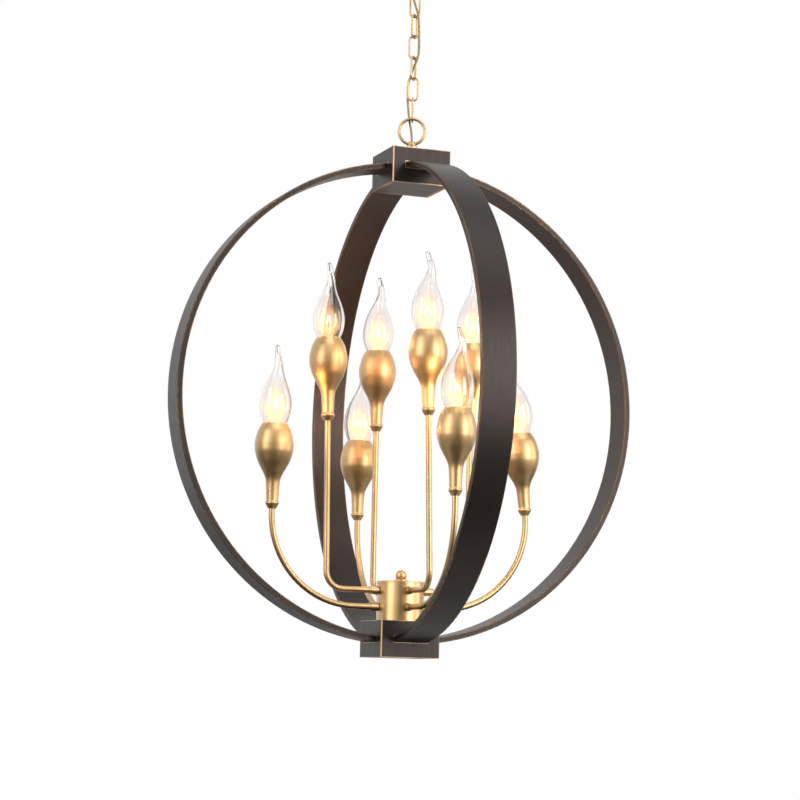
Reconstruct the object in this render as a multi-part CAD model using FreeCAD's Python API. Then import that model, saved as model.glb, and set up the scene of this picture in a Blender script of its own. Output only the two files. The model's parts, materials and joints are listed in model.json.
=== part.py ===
import FreeCAD, Part
import math
import os

# Orb chandelier: two crossed hoops between square blocks, a turned hub with eight candle
# lamps on bent arms, and a link chain with a threaded supply cord up to a ceiling canopy.
# Millimetres, +Z up. The origin is on the ceiling, at the middle of the mounting strap.

V = FreeCAD.Vector
ORIGIN = V(0, 0, 0)
X_AXIS = V(1, 0, 0)
Y_AXIS = V(0, 1, 0)
Z_AXIS = V(0, 0, 1)

# ---- clearances --------------------------------------------------------------------------
FIT = 0.05              # between fixed round pieces, on the radius
SLOT_GAP = 0.3          # around a hoop end in its block
LINK_GAP = 0.2          # between two hooked wires
COVER_GAP = 0.1         # around a pressed-in block cover

# ---- ceiling fitting ---------------------------------------------------------------------
STRAP_LENGTH = 108.0
STRAP_WIDTH = 20.0
STRAP_THICK = 2.0
STRAP_DROP = 12.0       # the middle of the strap lies this far under the ceiling
STRAP_MIDDLE = 40.0     # length of the dropped middle
STRAP_SLOPE = 8.0       # length that each slope takes
SLOT_SPACING = 88.9
SLOT_LENGTH = 12.0
SLOT_WIDTH = 4.6
CANOPY_DIA = 120.0
CANOPY_DEPTH = 26.0
CANOPY_WALL = 1.0
CANOPY_FLAT = 0.25      # share of the radius that is flat
CANOPY_STRAIGHT = 0.18  # share of the depth that is straight
CANOPY_FORM = ((0.983, 0.45), (0.76, 0.86), (0.5, 0.97))    # shares of radius and depth
RING_NUT_DIA = 20.0
RING_NUT_THICK = 5.0
NIPPLE_DIA = 10.0
NIPPLE_BORE = 6.0
NIPPLE_GRIP = 7.0       # thread length that a loop's foot takes
NIPPLE_STAND = 4.5      # how far the canopy nipple stands over its strap
NUT_ACROSS = 17.0
NUT_THICK = 5.0
EARTH_SCREW_DIA = 4.0
EARTH_SCREW_PLACE = 15.0

# ---- loops and chain ---------------------------------------------------------------------
LOOP_DIA = 34.0
LOOP_WIRE = 3.6
LOOP_RISE = 27.2        # from the loop's foot to the middle of its ring
LOOP_FOOT_DIA = 13.6
LOOP_FOOT_TALL = 9.0
LOOP_SHOULDER = 2.0     # height of the cone over the foot
LOOP_DOME_DIA = 9.6
LOOP_DOME_TOP = 16.0    # dome's top over the foot
LOOP_TURN = -20.7       # the rings face this way about Z
LINK_WIRE = 2.4
LINK_WIDTH = 13.8
LINK_LENGTH = 30.3
LINK_TURNS = (90.0, 0.0, 65.0, -15.0, 60.0, -10.0, 80.0)    # from the lowest link up

# ---- orb frame ---------------------------------------------------------------------------
HOOP_DIA = 558.8
HOOP_WIDTH = 40.0
HOOP_THICK = 6.6
HOOP_WALL = 1.2
HOOP_EDGE = 0.8         # radius on the hoop's long edges
HOOP_REACH = 14.0       # a hoop end reaches this far into its block
BLOCK_SIDE = 71.5
BLOCK_HEIGHT = 42.0
BLOCK_WALL = 2.5
BLOCK_CORNER = 2.0
BLOCK_INSET = 2.5       # the block's middle lies this far inside the hoop's middle line
COVER_THICK = 2.0
COVER_LIP = 8.0
COVER_LIP_THICK = 1.2
SADDLE_WIDTH = 24.0
SADDLE_LENGTH = 9.0
SCREW_DIA = 3.9
SCREW_HEAD_DIA = 7.0
SCREW_HEAD_TALL = 2.4
SCREW_GRIP = 8.0

# ---- hub ---------------------------------------------------------------------------------
HUB_DIA = 55.0
HUB_WALL = 2.0
HUB_FLOOR = 2.5
HUB_SEAM = 23.6         # height of the seam between lower and upper shell
HUB_HEIGHT = 43.1       # height of the two shells together
HUB_REGISTER = 1.8      # depth that a shell or the lid enters the one below
HUB_REGISTER_WALL = 1.3
LID_THICK = 2.4
LID_OVERHANG = 0.4
ROD_DIA = 8.0
ROD_NUT_ACROSS = 13.0
ROD_NUT_THICK = 6.5
ROD_TAIL = 3.0          # rod below its nut
FINIAL_FLANGE_DIA = 15.0
FINIAL_FLANGE_TALL = 2.5
FINIAL_BALL_DIA = 12.8
FINIAL_HEIGHT = 13.2
FINIAL_BORE = 8.0
FEED_X = -14.0          # where the feed cable rises into the hub
FEED_Y = 8.0
FEED_HOLE_DIA = 8.0

# ---- arms --------------------------------------------------------------------------------
ARM_DIA = 6.8
ARM_BORE = 4.8
ARM_COLLAR_DIA = 9.4
ARM_COLLAR_NOSE_DIA = 8.2
ARM_COLLAR_LENGTH = 12.0
ARM_COLLAR_NOSE = 3.0
ARM_NUT_ACROSS = 10.0
ARM_NUT_THICK = 3.4
ARM_NUT_REACH = 24.6    # outer face of an arm nut from the hub's axis
ARM_START = 20.5        # inner end of an arm from the hub's axis
LEAD_START = 17.0       # inner end of a lamp's lead
LEAD_DIA = 2.0
TIERS = {
    # port height over the hub's foot, reach, bend radius, cup rim over the hub's foot
    "inner": {"port": 34.6, "reach": 92.0, "bend": 20.0, "rim": 326.6},
    "outer": {"port": 15.6, "reach": 157.0, "bend": 102.0, "rim": 224.5},
}
# Each arm was bent and set by hand: azimuth, more reach, turn in its port, more height, and
# the lean of its upright towards the hub.
ARM_SETS = {
    ("inner", "left"): (180.0, -1.2, -3.2, -2.6, 0.0),
    ("inner", "rear"): (90.0, 2.6, 0.2, -2.2, 0.0),
    ("inner", "front"): (270.0, -1.1, -1.8, -1.0, 0.0),
    ("inner", "right"): (0.0, -10.0, 0.0, 0.2, 0.0),
    ("outer", "left"): (180.0, 1.9, 1.0, -6.1, 0.0),
    ("outer", "rear"): (90.0, -3.3, 0.3, -3.1, 0.0),
    ("outer", "front"): (270.0, 4.5, 0.0, 6.0, 0.0),
    ("outer", "right"): (0.0, -2.9, -0.5, -9.7, 6.0),
}

# ---- lamp cups, holders and bulbs (heights from the cup's rim) ----------------------------
CUP_FORM = ((0.0, 28.9), (2.0, 31.4), (9.0, 38.4), (20.0, 43.8), (27.0, 44.2), (33.0, 42.8),
            (42.0, 37.4), (49.5, 30.0), (57.0, 21.8), (65.0, 16.4), (79.0, 14.4), (88.0, 13.6))
CUP_WALL = 1.0
CUP_LIP_DIA = 15.8
CUP_LIP_FLARE = 1.6     # height from the cup's neck to the lip
CUP_LIP_TALL = 1.0
CUP_LIP_WAIST = 1.3     # what the lip's lower side curves in, halfway
CUP_FOOT_WALL = 1.2     # wall around the arm at the cup's foot
CUP_STEP = 2.0          # height of the cone at the hollow's foot
CUP_STEP_WIDTH = 1.0
CUP_LENGTH = 96.5
CUP_HOLLOW = 82.0       # depth of the hollow
HOLDER_DIA = 17.0
HOLDER_BORE = 13.2
HOLDER_TOP = 12.0       # depth of the holder's mouth
HOLDER_FLOOR = 31.0     # depth of its floor
HOLDER_FLOOR_THICK = 5.4
HOLDER_LENGTH = 32.0
BASE_DIA = 11.9
BASE_ROOT_DIA = 10.9
BASE_PITCH = 1.8
BASE_SKIRT_DIA = 12.6
BASE_BORE = 9.8
BASE_TOP = 11.2         # depth of the base's top edge
BASE_SKIRT = 2.5
BASE_THREAD_END = 25.0  # depth where the thread ends
BASE_FLOOR = 24.0       # depth of the hollow in the base
BASE_CONTACT_DIA = 4.0
BASE_CONTACT_TALL = 1.2
BASE_CONE_DIA = 6.0     # the insulator's cone over the contact, and its height over the foot
BASE_CONE_FOOT = 2.2
CONTACT_GAP = 0.3       # contact over the holder's floor
GLASS_WALL = 0.7
GLASS_FORM = (          # height, diameter, sideways place of the bent tail
    (-18.0, 9.4, 0.0), (-14.5, 9.4, 0.0), (-11.6, 9.4, 0.0), (-8.8, 11.2, 0.0),
    (-6.0, 16.2, 0.0), (-3.0, 22.0, 0.0), (0.0, 25.8, 0.0), (4.0, 29.6, 0.0),
    (9.0, 33.2, 0.0), (15.0, 35.9, 0.0), (22.0, 37.0, 0.0), (30.0, 35.3, 0.0),
    (37.0, 31.8, 0.0), (44.0, 26.8, 0.1), (50.0, 21.6, 0.6), (56.0, 16.4, 1.8),
    (61.0, 12.8, 3.2), (66.0, 10.4, 4.4), (71.0, 9.0, 4.6), (77.0, 8.0, 3.6),
    (83.0, 6.6, 1.8), (88.0, 4.8, 0.4), (90.0, 3.0, 0.0))
GLASS_HOLLOW_TOP = 77.0
TAIL_TURNS = {
    ("inner", "left"): -141.0, ("inner", "rear"): -51.0, ("inner", "front"): 69.0,
    ("inner", "right"): -81.0, ("outer", "left"): 99.0, ("outer", "rear"): 200.0,
    ("outer", "front"): 60.0, ("outer", "right"): 159.0,
}
FILAMENT_WIRE = 0.7
FILAMENT_GAUGE = 4.4    # between the two legs
FILAMENT_TOP = 36.0

# ---- wiring ------------------------------------------------------------------------------
CORD_DIA = 2.6
CORD_HOLE_DIA = 3.4
FEED_DIA = 2.4
FEED_BEND = 7.5
FEED_DROP_X = -5.0      # where the feed cable drops into the top terminal
TERMINAL_TALL = 11.4
TERMINAL_X = (-9.0, 5.0)
TERMINAL_Y = (-4.0, 12.0)
HUB_TERMINAL_HALF = 4.5
HUB_TERMINAL_TALL = 9.0
HUB_TERMINAL_RISE = 6.6  # over the hub's foot

# The cord's route: right of the chain as seen from the front, towards the front, and the
# height over the foot of the lower loop. It weaves behind, through and before the links.
CORD_ROUTE = (
    (0.0, 0.0, 23.0), (-3.2, -4.3, 39.5), (-5.0, -4.7, 53.9), (-6.3, -3.7, 69.0),
    (-6.1, -4.2, 86.1), (0.1, 0.4, 104.5), (6.3, 5.0, 118.7), (5.7, 4.2, 142.9),
    (4.8, 3.4, 166.1), (-1.0, 4.4, 183.4), (-5.1, 4.5, 197.4), (-4.7, 4.4, 213.0),
    (0.0, 0.0, 233.0))

# ---- places that follow from the sizes ----------------------------------------------------
loop_eye = LOOP_DIA / 2 - LOOP_WIRE
link_pitch = LINK_LENGTH - 2 * LINK_WIRE - LINK_GAP
link_count = len(LINK_TURNS)
canopy_loop_foot = -CANOPY_DEPTH - RING_NUT_THICK
canopy_ring_z = canopy_loop_foot - LOOP_RISE
top_link_foot = canopy_ring_z - loop_eye + LINK_GAP + LINK_WIRE - LINK_LENGTH
link_feet = [top_link_foot - (link_count - 1 - i) * link_pitch for i in range(link_count)]
top_ring_z = link_feet[0] + LINK_WIRE + LINK_GAP - loop_eye
block_top = top_ring_z - LOOP_RISE
hoop_out = HOOP_DIA / 2
hoop_in = hoop_out - HOOP_THICK
hoop_mid = hoop_out - HOOP_THICK / 2
hoop_z = block_top - BLOCK_HEIGHT / 2 - (hoop_mid - BLOCK_INSET)
top_block_z = block_top - BLOCK_HEIGHT                  # underside of the top block
bottom_block_z = 2 * hoop_z - block_top                 # underside of the bottom block
hub_z = bottom_block_z + BLOCK_HEIGHT
block_half = BLOCK_SIDE / 2
block_inner = block_half - BLOCK_WALL
hoop_end_x = block_half - HOOP_REACH
hoop_end_angle = math.degrees(math.asin(hoop_end_x / hoop_mid))
saddle_x0 = hoop_end_x + 2.0
saddle_x1 = saddle_x0 + SADDLE_LENGTH
screw_angle = math.degrees(math.asin((saddle_x0 + saddle_x1) / 2 / hoop_mid))
hub_top = hub_z + HUB_HEIGHT
lid_top = hub_top + LID_THICK


# ---- shape helpers -----------------------------------------------------------------------
def moved(shape, x=0.0, y=0.0, z=0.0):
    copy = shape.copy()
    copy.translate(V(x, y, z))
    return copy


def spun(shape, angle, axis=Z_AXIS, about=ORIGIN):
    copy = shape.copy()
    copy.rotate(about, axis, angle)
    return copy


def rod(dia, z0, z1, x=0.0, y=0.0):
    return Part.makeCylinder(dia / 2, z1 - z0, V(x, y, z0))


def sleeve(dia, bore, z0, z1):
    return rod(dia, z0, z1).cut(rod(bore, z0 - 1, z1 + 1))


def box(x0, x1, y0, y1, z0, z1):
    return Part.makeBox(x1 - x0, y1 - y0, z1 - z0, V(x0, y0, z0))


def hex_nut(across, bore, z0, z1):
    corner = across / math.sqrt(3)
    points = [V(corner * math.cos(math.radians(60 * k)), corner * math.sin(math.radians(60 * k)), z0)
              for k in range(7)]
    return Part.Face(Part.makePolygon(points)).extrude(V(0, 0, z1 - z0)).cut(rod(bore, z0 - 1, z1 + 1))


def turned(edges):
    """Solid turned about Z from the edges of a closed outline in the XZ plane."""
    face = Part.Face(Part.Wire(Part.__sortEdges__(edges)))
    return face.revolve(ORIGIN, Z_AXIS, 360)


def line(a, b):
    return Part.LineSegment(a, b).toShape()


def lines(points):
    return [line(a, b) for a, b in zip(points, points[1:])]


def smooth(points):
    curve = Part.BSplineCurve()
    curve.interpolate(points)
    return curve.toShape()


def pipe(wire, dia):
    """Round bar along a wire of lines and arcs."""
    edge = wire.OrderedEdges[0]
    start = wire.OrderedVertexes[0].Point
    direction = edge.tangentAt(edge.FirstParameter)
    section = Part.Wire(Part.makeCircle(dia / 2, start, direction))
    sweep = Part.BRepOffsetAPI.MakePipeShell(wire)
    sweep.add(section)
    sweep.build()
    sweep.makeSolid()
    return sweep.shape()


def rounded_wire(points):
    """Straight runs joined by tangent arcs, and the radii of those arcs."""
    edges, radii, start = [], [], points[0]
    for before, corner, after in zip(points, points[1:], points[2:]):
        back = (before - corner).normalize()
        ahead = (after - corner).normalize()
        half_turn = (math.pi - back.getAngle(ahead)) / 2
        cut = 0.45 * min((before - corner).Length, (after - corner).Length)
        radius = cut / math.tan(half_turn)
        middle = corner + (back + ahead).normalize() * radius * (1 / math.cos(half_turn) - 1)
        edges.append(line(start, corner + back * cut))
        edges.append(Part.Arc(corner + back * cut, middle, corner + ahead * cut).toShape())
        radii.append(radius)
        start = corner + ahead * cut
    edges.append(line(start, points[-1]))
    return Part.Wire(edges), radii


# ---- ceiling fitting ---------------------------------------------------------------------
def ceiling_strap():
    """Offset strap: its ends lie on the ceiling, its middle hangs lower."""
    half, middle = STRAP_LENGTH / 2, STRAP_MIDDLE / 2
    shoulder = middle + STRAP_SLOPE
    upper = [V(half, 0, 0), V(shoulder, 0, 0), V(middle, 0, -STRAP_DROP)]
    upper += [V(-p.x, 0, p.z) for p in reversed(upper)]
    lower = [p - V(0, 0, STRAP_THICK) for p in reversed(upper)]
    outline = upper + lower + [upper[0]]
    body = moved(Part.Face(Part.makePolygon(outline)), y=-STRAP_WIDTH / 2).extrude(V(0, STRAP_WIDTH, 0))
    for side in (-1, 1):
        run = (SLOT_LENGTH - SLOT_WIDTH) / 2
        place = side * SLOT_SPACING / 2
        slot = box(place - run, place + run, -SLOT_WIDTH / 2, SLOT_WIDTH / 2, -STRAP_THICK - 1, 1)
        for end in (place - run, place + run):
            slot = slot.fuse(rod(SLOT_WIDTH, -STRAP_THICK - 1, 1, end))
        body = body.cut(slot)
    floor = -STRAP_DROP - STRAP_THICK
    body = body.cut(rod(NIPPLE_DIA + 2 * FIT, floor - 1, -STRAP_DROP + 1))
    return body.cut(rod(EARTH_SCREW_DIA + 2 * FIT, floor - 1, -STRAP_DROP + 1, EARTH_SCREW_PLACE))


def canopy_nipple():
    low = canopy_loop_foot - NIPPLE_GRIP + FIT
    return sleeve(NIPPLE_DIA, NIPPLE_BORE, low, -STRAP_DROP + NIPPLE_STAND)


def canopy_locknuts():
    bore = NIPPLE_DIA + 2 * FIT
    under = -STRAP_DROP - STRAP_THICK
    top = -STRAP_DROP + NIPPLE_STAND - FIT
    return [hex_nut(NUT_ACROSS, bore, -STRAP_DROP, top),
            hex_nut(NUT_ACROSS, bore, under - NUT_THICK, under)]


def earth_screw():
    under = -STRAP_DROP - STRAP_THICK
    head = rod(SCREW_HEAD_DIA, under - SCREW_HEAD_TALL, under, EARTH_SCREW_PLACE)
    slot = box(EARTH_SCREW_PLACE - 4, EARTH_SCREW_PLACE + 4, -0.4, 0.4, under - 3, under - 1.4)
    return head.fuse(rod(EARTH_SCREW_DIA, under, -STRAP_DROP + 3, EARTH_SCREW_PLACE)).cut(slot)


def canopy_shell():
    """Spun dish with its rim on the ceiling and a hole for the nipple."""
    half, hole = CANOPY_DIA / 2, NIPPLE_DIA / 2 + 4 * FIT
    flat = CANOPY_FLAT * half

    def dish(radius, depth):
        knee = V(radius, 0, -CANOPY_STRAIGHT * depth)
        bowl = [V(across * radius, 0, -down * depth) for across, down in CANOPY_FORM]
        return [line(V(radius, 0, 0), knee), smooth([knee] + bowl + [V(flat, 0, -depth)])]

    outer = dish(half, CANOPY_DEPTH)
    inner = dish(half - CANOPY_WALL, CANOPY_DEPTH - CANOPY_WALL)
    base = -CANOPY_DEPTH
    ends = [line(V(half, 0, 0), V(half - CANOPY_WALL, 0, 0)),
            line(V(flat, 0, base), V(hole, 0, base)),
            line(V(hole, 0, base), V(hole, 0, base + CANOPY_WALL)),
            line(V(hole, 0, base + CANOPY_WALL), V(flat, 0, base + CANOPY_WALL))]
    return turned(outer + inner + ends)


def ring_nut():
    """Knurled nut that holds the canopy up."""
    body = sleeve(RING_NUT_DIA, NIPPLE_DIA + 2 * FIT, canopy_loop_foot, -CANOPY_DEPTH)
    notch = rod(1.2, canopy_loop_foot + 1, -CANOPY_DEPTH - 1, RING_NUT_DIA / 2 + 0.2)
    for k in range(30):
        body = body.cut(spun(notch, 12 * k))
    return body


# ---- loops and chain ---------------------------------------------------------------------
def loop():
    """Cast loop on a domed foot that takes a nipple and lets the cord through."""
    foot, dome = LOOP_FOOT_DIA / 2, LOOP_DOME_DIA / 2
    shoulder = LOOP_FOOT_TALL + LOOP_SHOULDER
    dome_foot = LOOP_DOME_TOP - dome
    arc = Part.Arc(V(dome, 0, dome_foot), V(dome * math.sqrt(0.5), 0, dome_foot + dome * math.sqrt(0.5)),
                   V(0, 0, LOOP_DOME_TOP)).toShape()
    outline = lines([V(0, 0, 0), V(foot, 0, 0), V(foot, 0, LOOP_FOOT_TALL), V(dome, 0, shoulder),
                     V(dome, 0, dome_foot)])
    body = turned(outline + [arc, line(V(0, 0, LOOP_DOME_TOP), V(0, 0, 0))])
    ring = Part.makeTorus((LOOP_DIA - LOOP_WIRE) / 2, LOOP_WIRE / 2)
    ring.rotate(ORIGIN, X_AXIS, 90)
    body = body.fuse(moved(ring, z=LOOP_RISE))
    body = body.cut(rod(NIPPLE_DIA + 2 * FIT, -1, NIPPLE_GRIP))
    body = body.cut(rod(CORD_HOLE_DIA, 0, LOOP_DOME_TOP + 1))
    return spun(body, LOOP_TURN)


def canopy_loop():
    return moved(spun(loop(), 180, X_AXIS), z=canopy_loop_foot).mirror(ORIGIN, Y_AXIS)


def top_loop():
    return moved(loop(), z=block_top)


def chain_link(index):
    """Welded oval link, standing on its foot and turned about Z."""
    radius = (LINK_WIDTH - LINK_WIRE) / 2
    low = link_feet[index] + LINK_WIDTH / 2
    high = link_feet[index] + LINK_LENGTH - LINK_WIDTH / 2
    edges = [line(V(radius, 0, low), V(radius, 0, high)),
             Part.Arc(V(radius, 0, high), V(0, 0, high + radius), V(-radius, 0, high)).toShape(),
             line(V(-radius, 0, high), V(-radius, 0, low)),
             Part.Arc(V(-radius, 0, low), V(0, 0, low - radius), V(radius, 0, low)).toShape()]
    half_wire = Part.Wire(edges[:2])
    other_half = Part.Wire(edges[2:])
    link = pipe(half_wire, LINK_WIRE).fuse(pipe(other_half, LINK_WIRE))
    return spun(link, LOOP_TURN + LINK_TURNS[index])


# ---- orb frame ---------------------------------------------------------------------------
def flat_bar(radius_in, radius_out, width, edge):
    """Rounded rectangle across a hoop, in the XY plane."""
    corner, half = edge, width / 2
    x0, x1 = radius_in, radius_out
    pad = Part.Face(Part.makePolygon([V(x0, -half, 0), V(x1, -half, 0), V(x1, half, 0),
                                      V(x0, half, 0), V(x0, -half, 0)]))
    if corner > 0:
        solid = pad.extrude(V(0, 0, 1))
        upright = [e for e in solid.Edges if abs(e.tangentAt(e.FirstParameter).z) > 0.9]
        solid = solid.makeFillet(corner, upright)
        pad = [f for f in solid.Faces if abs(f.CenterOfMass.z) < 1e-6][0]
    return pad


def half_hoop_bar(face, end_angle):
    """Sweeps a hoop section from near the top to near the bottom, on the +X side."""
    start = spun(face, -(90 - end_angle), Y_AXIS)
    return start.revolve(ORIGIN, Y_AXIS, 2 * (90 - end_angle))


def half_hoop(azimuth):
    outer = half_hoop_bar(flat_bar(hoop_in, hoop_out, HOOP_WIDTH, HOOP_EDGE), hoop_end_angle)
    hollow = flat_bar(hoop_in + HOOP_WALL, hoop_out - HOOP_WALL, HOOP_WIDTH - 2 * HOOP_WALL, 0)
    bar = outer.cut(half_hoop_bar(hollow, hoop_end_angle - 0.5))
    for angle in (screw_angle, 180 - screw_angle):
        drill = spun(rod(SCREW_DIA + 4 * FIT, hoop_in - 1, hoop_out + 1), angle, Y_AXIS)
        bar = bar.cut(drill)
    return moved(spun(bar, azimuth), z=hoop_z)


def hoop_slots():
    """What a block's sides lose so that the hoop ends pass."""
    face = flat_bar(hoop_in - SLOT_GAP, hoop_out + SLOT_GAP, HOOP_WIDTH + 2 * SLOT_GAP, 0)
    bar = half_hoop_bar(face, hoop_end_angle)
    return [moved(spun(bar, azimuth), z=hoop_z) for azimuth in (0, 90, 180, 270)]


def block(underside):
    """Square box, open below, with a slot in each side for a hoop end."""
    top = underside + BLOCK_HEIGHT
    outer = box(-block_half, block_half, -block_half, block_half, underside, top)
    upright = [e for e in outer.Edges if abs(e.tangentAt(e.FirstParameter).z) > 0.9]
    outer = outer.makeFillet(BLOCK_CORNER, upright)
    hollow = box(-block_inner, block_inner, -block_inner, block_inner, underside - 1, top - BLOCK_WALL)
    shell = outer.cut(hollow)
    for slot in hoop_slots():
        shell = shell.cut(slot)
    return shell


def top_block():
    return block(top_block_z).cut(rod(NIPPLE_DIA + 2 * FIT, block_top - BLOCK_WALL - 1, block_top + 1))


def bottom_block():
    shell = block(bottom_block_z).cut(rod(ROD_DIA + 2 * FIT, hub_z - BLOCK_WALL - 1, hub_z + 1))
    return shell.cut(rod(FEED_HOLE_DIA, hub_z - BLOCK_WALL - 1, hub_z + 1, FEED_X, FEED_Y))


def block_cover(underside):
    """Plate with two lips, pressed into the open underside of a block."""
    half = block_inner - COVER_GAP
    plate = box(-half, half, -half, half, underside, underside + COVER_THICK)
    for side in (-1, 1):
        edges = sorted((side * half, side * (half - COVER_LIP_THICK)))
        lip = box(-half / 2, half / 2, edges[0], edges[1], underside, underside + COVER_THICK + COVER_LIP)
        plate = plate.fuse(lip)
    return plate.removeSplitter()


def hoop_round(radius):
    """Solid round as wide as a saddle, about the hoops' middle."""
    return Part.makeCylinder(radius, SADDLE_WIDTH + 2, V(0, -SADDLE_WIDTH / 2 - 1, hoop_z), Y_AXIS)


def hoop_saddles():
    """Tapped saddles welded under each block's top wall, shaped to the hoops."""
    saddles = []
    for top, outside in ((block_top, True), (hub_z, False)):
        base = top - BLOCK_WALL
        low = hoop_z + hoop_in - 6 if outside else hoop_z - hoop_out
        blank = box(saddle_x0, saddle_x1, -SADDLE_WIDTH / 2, SADDLE_WIDTH / 2, low, base)
        if outside:
            blank = blank.cut(hoop_round(hoop_out + FIT))
            angle = screw_angle
        else:
            blank = blank.common(hoop_round(hoop_in - FIT))
            angle = 180 - screw_angle
        drill = rod(SCREW_DIA + 2 * FIT, hoop_in - SCREW_GRIP - 1, hoop_out + SCREW_GRIP + 1)
        blank = blank.cut(moved(spun(drill, angle, Y_AXIS), z=hoop_z))
        saddles += [spun(blank, azimuth) for azimuth in (0, 90, 180, 270)]
    return saddles


def hoop_screws():
    """One screw through each hoop end; every head points down, to the block's open side."""
    screws = []
    for upper in (True, False):
        if upper:
            head = rod(SCREW_HEAD_DIA, hoop_in - FIT - SCREW_HEAD_TALL, hoop_in - FIT)
            screw = head.fuse(rod(SCREW_DIA, hoop_in - FIT, hoop_out + SCREW_GRIP))
            angle = screw_angle
        else:
            head = rod(SCREW_HEAD_DIA, hoop_out + FIT, hoop_out + FIT + SCREW_HEAD_TALL)
            screw = head.fuse(rod(SCREW_DIA, hoop_in - SCREW_GRIP, hoop_out + FIT))
            angle = 180 - screw_angle
        screw = moved(spun(screw, angle, Y_AXIS), z=hoop_z)
        screws += [spun(screw, azimuth) for azimuth in (0, 90, 180, 270)]
    return screws


def top_nipple():
    low = block_top - BLOCK_WALL - NUT_THICK - 3
    return sleeve(NIPPLE_DIA, NIPPLE_BORE, low, block_top + NIPPLE_GRIP - FIT)


def frame_locknuts():
    """The nut on the top nipple and the nut on the hub's tie rod."""
    base = block_top - BLOCK_WALL
    low = hub_z - BLOCK_WALL
    return [hex_nut(NUT_ACROSS, NIPPLE_DIA + 2 * FIT, base - NUT_THICK, base),
            hex_nut(ROD_NUT_ACROSS, ROD_DIA + 2 * FIT, low - ROD_NUT_THICK, low)]


# ---- hub ---------------------------------------------------------------------------------
def port_drill(tier):
    """Four radial holes for the arms of one tier."""
    height = hub_z + TIERS[tier]["port"]
    hole = Part.makeCylinder(ARM_DIA / 2 + FIT, HUB_DIA / 2 + 1, V(0, 0, height), X_AXIS)
    return [spun(hole, azimuth) for azimuth in (0, 90, 180, 270)]


def hub_lower_shell():
    bore = HUB_DIA - 2 * HUB_WALL
    shell = rod(HUB_DIA, hub_z, hub_z + HUB_SEAM).cut(rod(bore, hub_z + HUB_FLOOR, hub_z + HUB_SEAM + 1))
    for hole in port_drill("outer"):
        shell = shell.cut(hole)
    shell = shell.cut(rod(ROD_DIA + 2 * FIT, hub_z - 1, hub_z + HUB_FLOOR + 1))
    return shell.cut(rod(FEED_HOLE_DIA, hub_z - 1, hub_z + HUB_FLOOR + 1, FEED_X, FEED_Y))


def hub_upper_shell():
    bore = HUB_DIA - 2 * HUB_WALL
    narrow = bore - 2 * HUB_REGISTER_WALL
    seam = hub_z + HUB_SEAM
    step = sleeve(HUB_DIA, narrow, seam, seam + HUB_REGISTER)
    register = sleeve(bore - 2 * FIT, narrow, seam - HUB_REGISTER, seam)
    shell = sleeve(HUB_DIA, bore, seam, hub_top).fuse(step).fuse(register).removeSplitter()
    for hole in port_drill("inner"):
        shell = shell.cut(hole)
    return shell


def hub_lid():
    dia = HUB_DIA + 2 * LID_OVERHANG
    lid = rod(dia, hub_top, lid_top)
    top_edge = [e for e in lid.Edges if abs(e.CenterOfMass.z - lid_top) < 1e-6]
    lid = lid.makeChamfer(0.6, top_edge)
    spigot = rod(HUB_DIA - 2 * HUB_WALL - 2 * FIT, hub_top - HUB_REGISTER, hub_top)
    return lid.fuse(spigot).cut(rod(ROD_DIA + 2 * FIT, hub_top - HUB_REGISTER - 1, lid_top + 1))


def tie_rod():
    low = hub_z - BLOCK_WALL - ROD_NUT_THICK - ROD_TAIL
    return rod(ROD_DIA, low, lid_top + FINIAL_BORE - FIT)


def finial():
    flange, ball = FINIAL_FLANGE_DIA / 2, FINIAL_BALL_DIA / 2
    centre = FINIAL_HEIGHT - ball
    foot_r = math.sqrt(ball ** 2 - (centre - FINIAL_FLANGE_TALL) ** 2)
    arc = Part.Arc(V(foot_r, 0, FINIAL_FLANGE_TALL), V(ball, 0, centre), V(0, 0, FINIAL_HEIGHT)).toShape()
    outline = lines([V(0, 0, 0), V(flange, 0, 0), V(flange, 0, FINIAL_FLANGE_TALL - 0.7),
                     V(flange - 0.7, 0, FINIAL_FLANGE_TALL), V(foot_r, 0, FINIAL_FLANGE_TALL)])
    knob = turned(outline + [arc, line(V(0, 0, FINIAL_HEIGHT), V(0, 0, 0))])
    return moved(knob.cut(rod(ROD_DIA + 2 * FIT, -1, FINIAL_BORE)), z=lid_top)


# ---- arms and lamps ----------------------------------------------------------------------
def placed_arm(shape, tier, side):
    """Takes a shape from an arm's own frame (X outwards, origin at its port) to its place."""
    azimuth, _, turn, _, _ = ARM_SETS[tier, side]
    return moved(spun(spun(shape, -turn, X_AXIS), azimuth), z=hub_z + TIERS[tier]["port"])


def arm_reach(tier, side):
    return TIERS[tier]["reach"] + ARM_SETS[tier, side][1]


def rim_height(tier, side):
    """Height of the cup's rim over the arm's port."""
    return TIERS[tier]["rim"] + ARM_SETS[tier, side][3] - TIERS[tier]["port"]


def bend_centre(tier, side):
    bend = TIERS[tier]["bend"]
    return V(arm_reach(tier, side) - bend, 0, bend)


def placed_lamp(shape, tier, side):
    """Takes a shape from a lamp's own frame (origin at the cup's rim) to its place."""
    upright = moved(shape, x=arm_reach(tier, side), z=rim_height(tier, side))
    leaning = spun(upright, -ARM_SETS[tier, side][4], Y_AXIS, about=bend_centre(tier, side))
    return placed_arm(leaning, tier, side)


def arm_wire(tier, side, start, depth):
    """Middle line of an arm from its port, round its bend, up to a depth under the rim."""
    bend, lean = TIERS[tier]["bend"], ARM_SETS[tier, side][4]
    rise = rim_height(tier, side) - depth - bend

    def heading(angle):
        return V(math.cos(math.radians(angle)), 0, math.sin(math.radians(angle)))

    low, middle, high = [bend_centre(tier, side) + heading(angle) * bend
                         for angle in (-90, (lean - 90) / 2, lean)]
    return Part.Wire([line(V(start, 0, 0), low), Part.Arc(low, middle, high).toShape(),
                      line(high, high + heading(lean + 90) * rise)])


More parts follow.
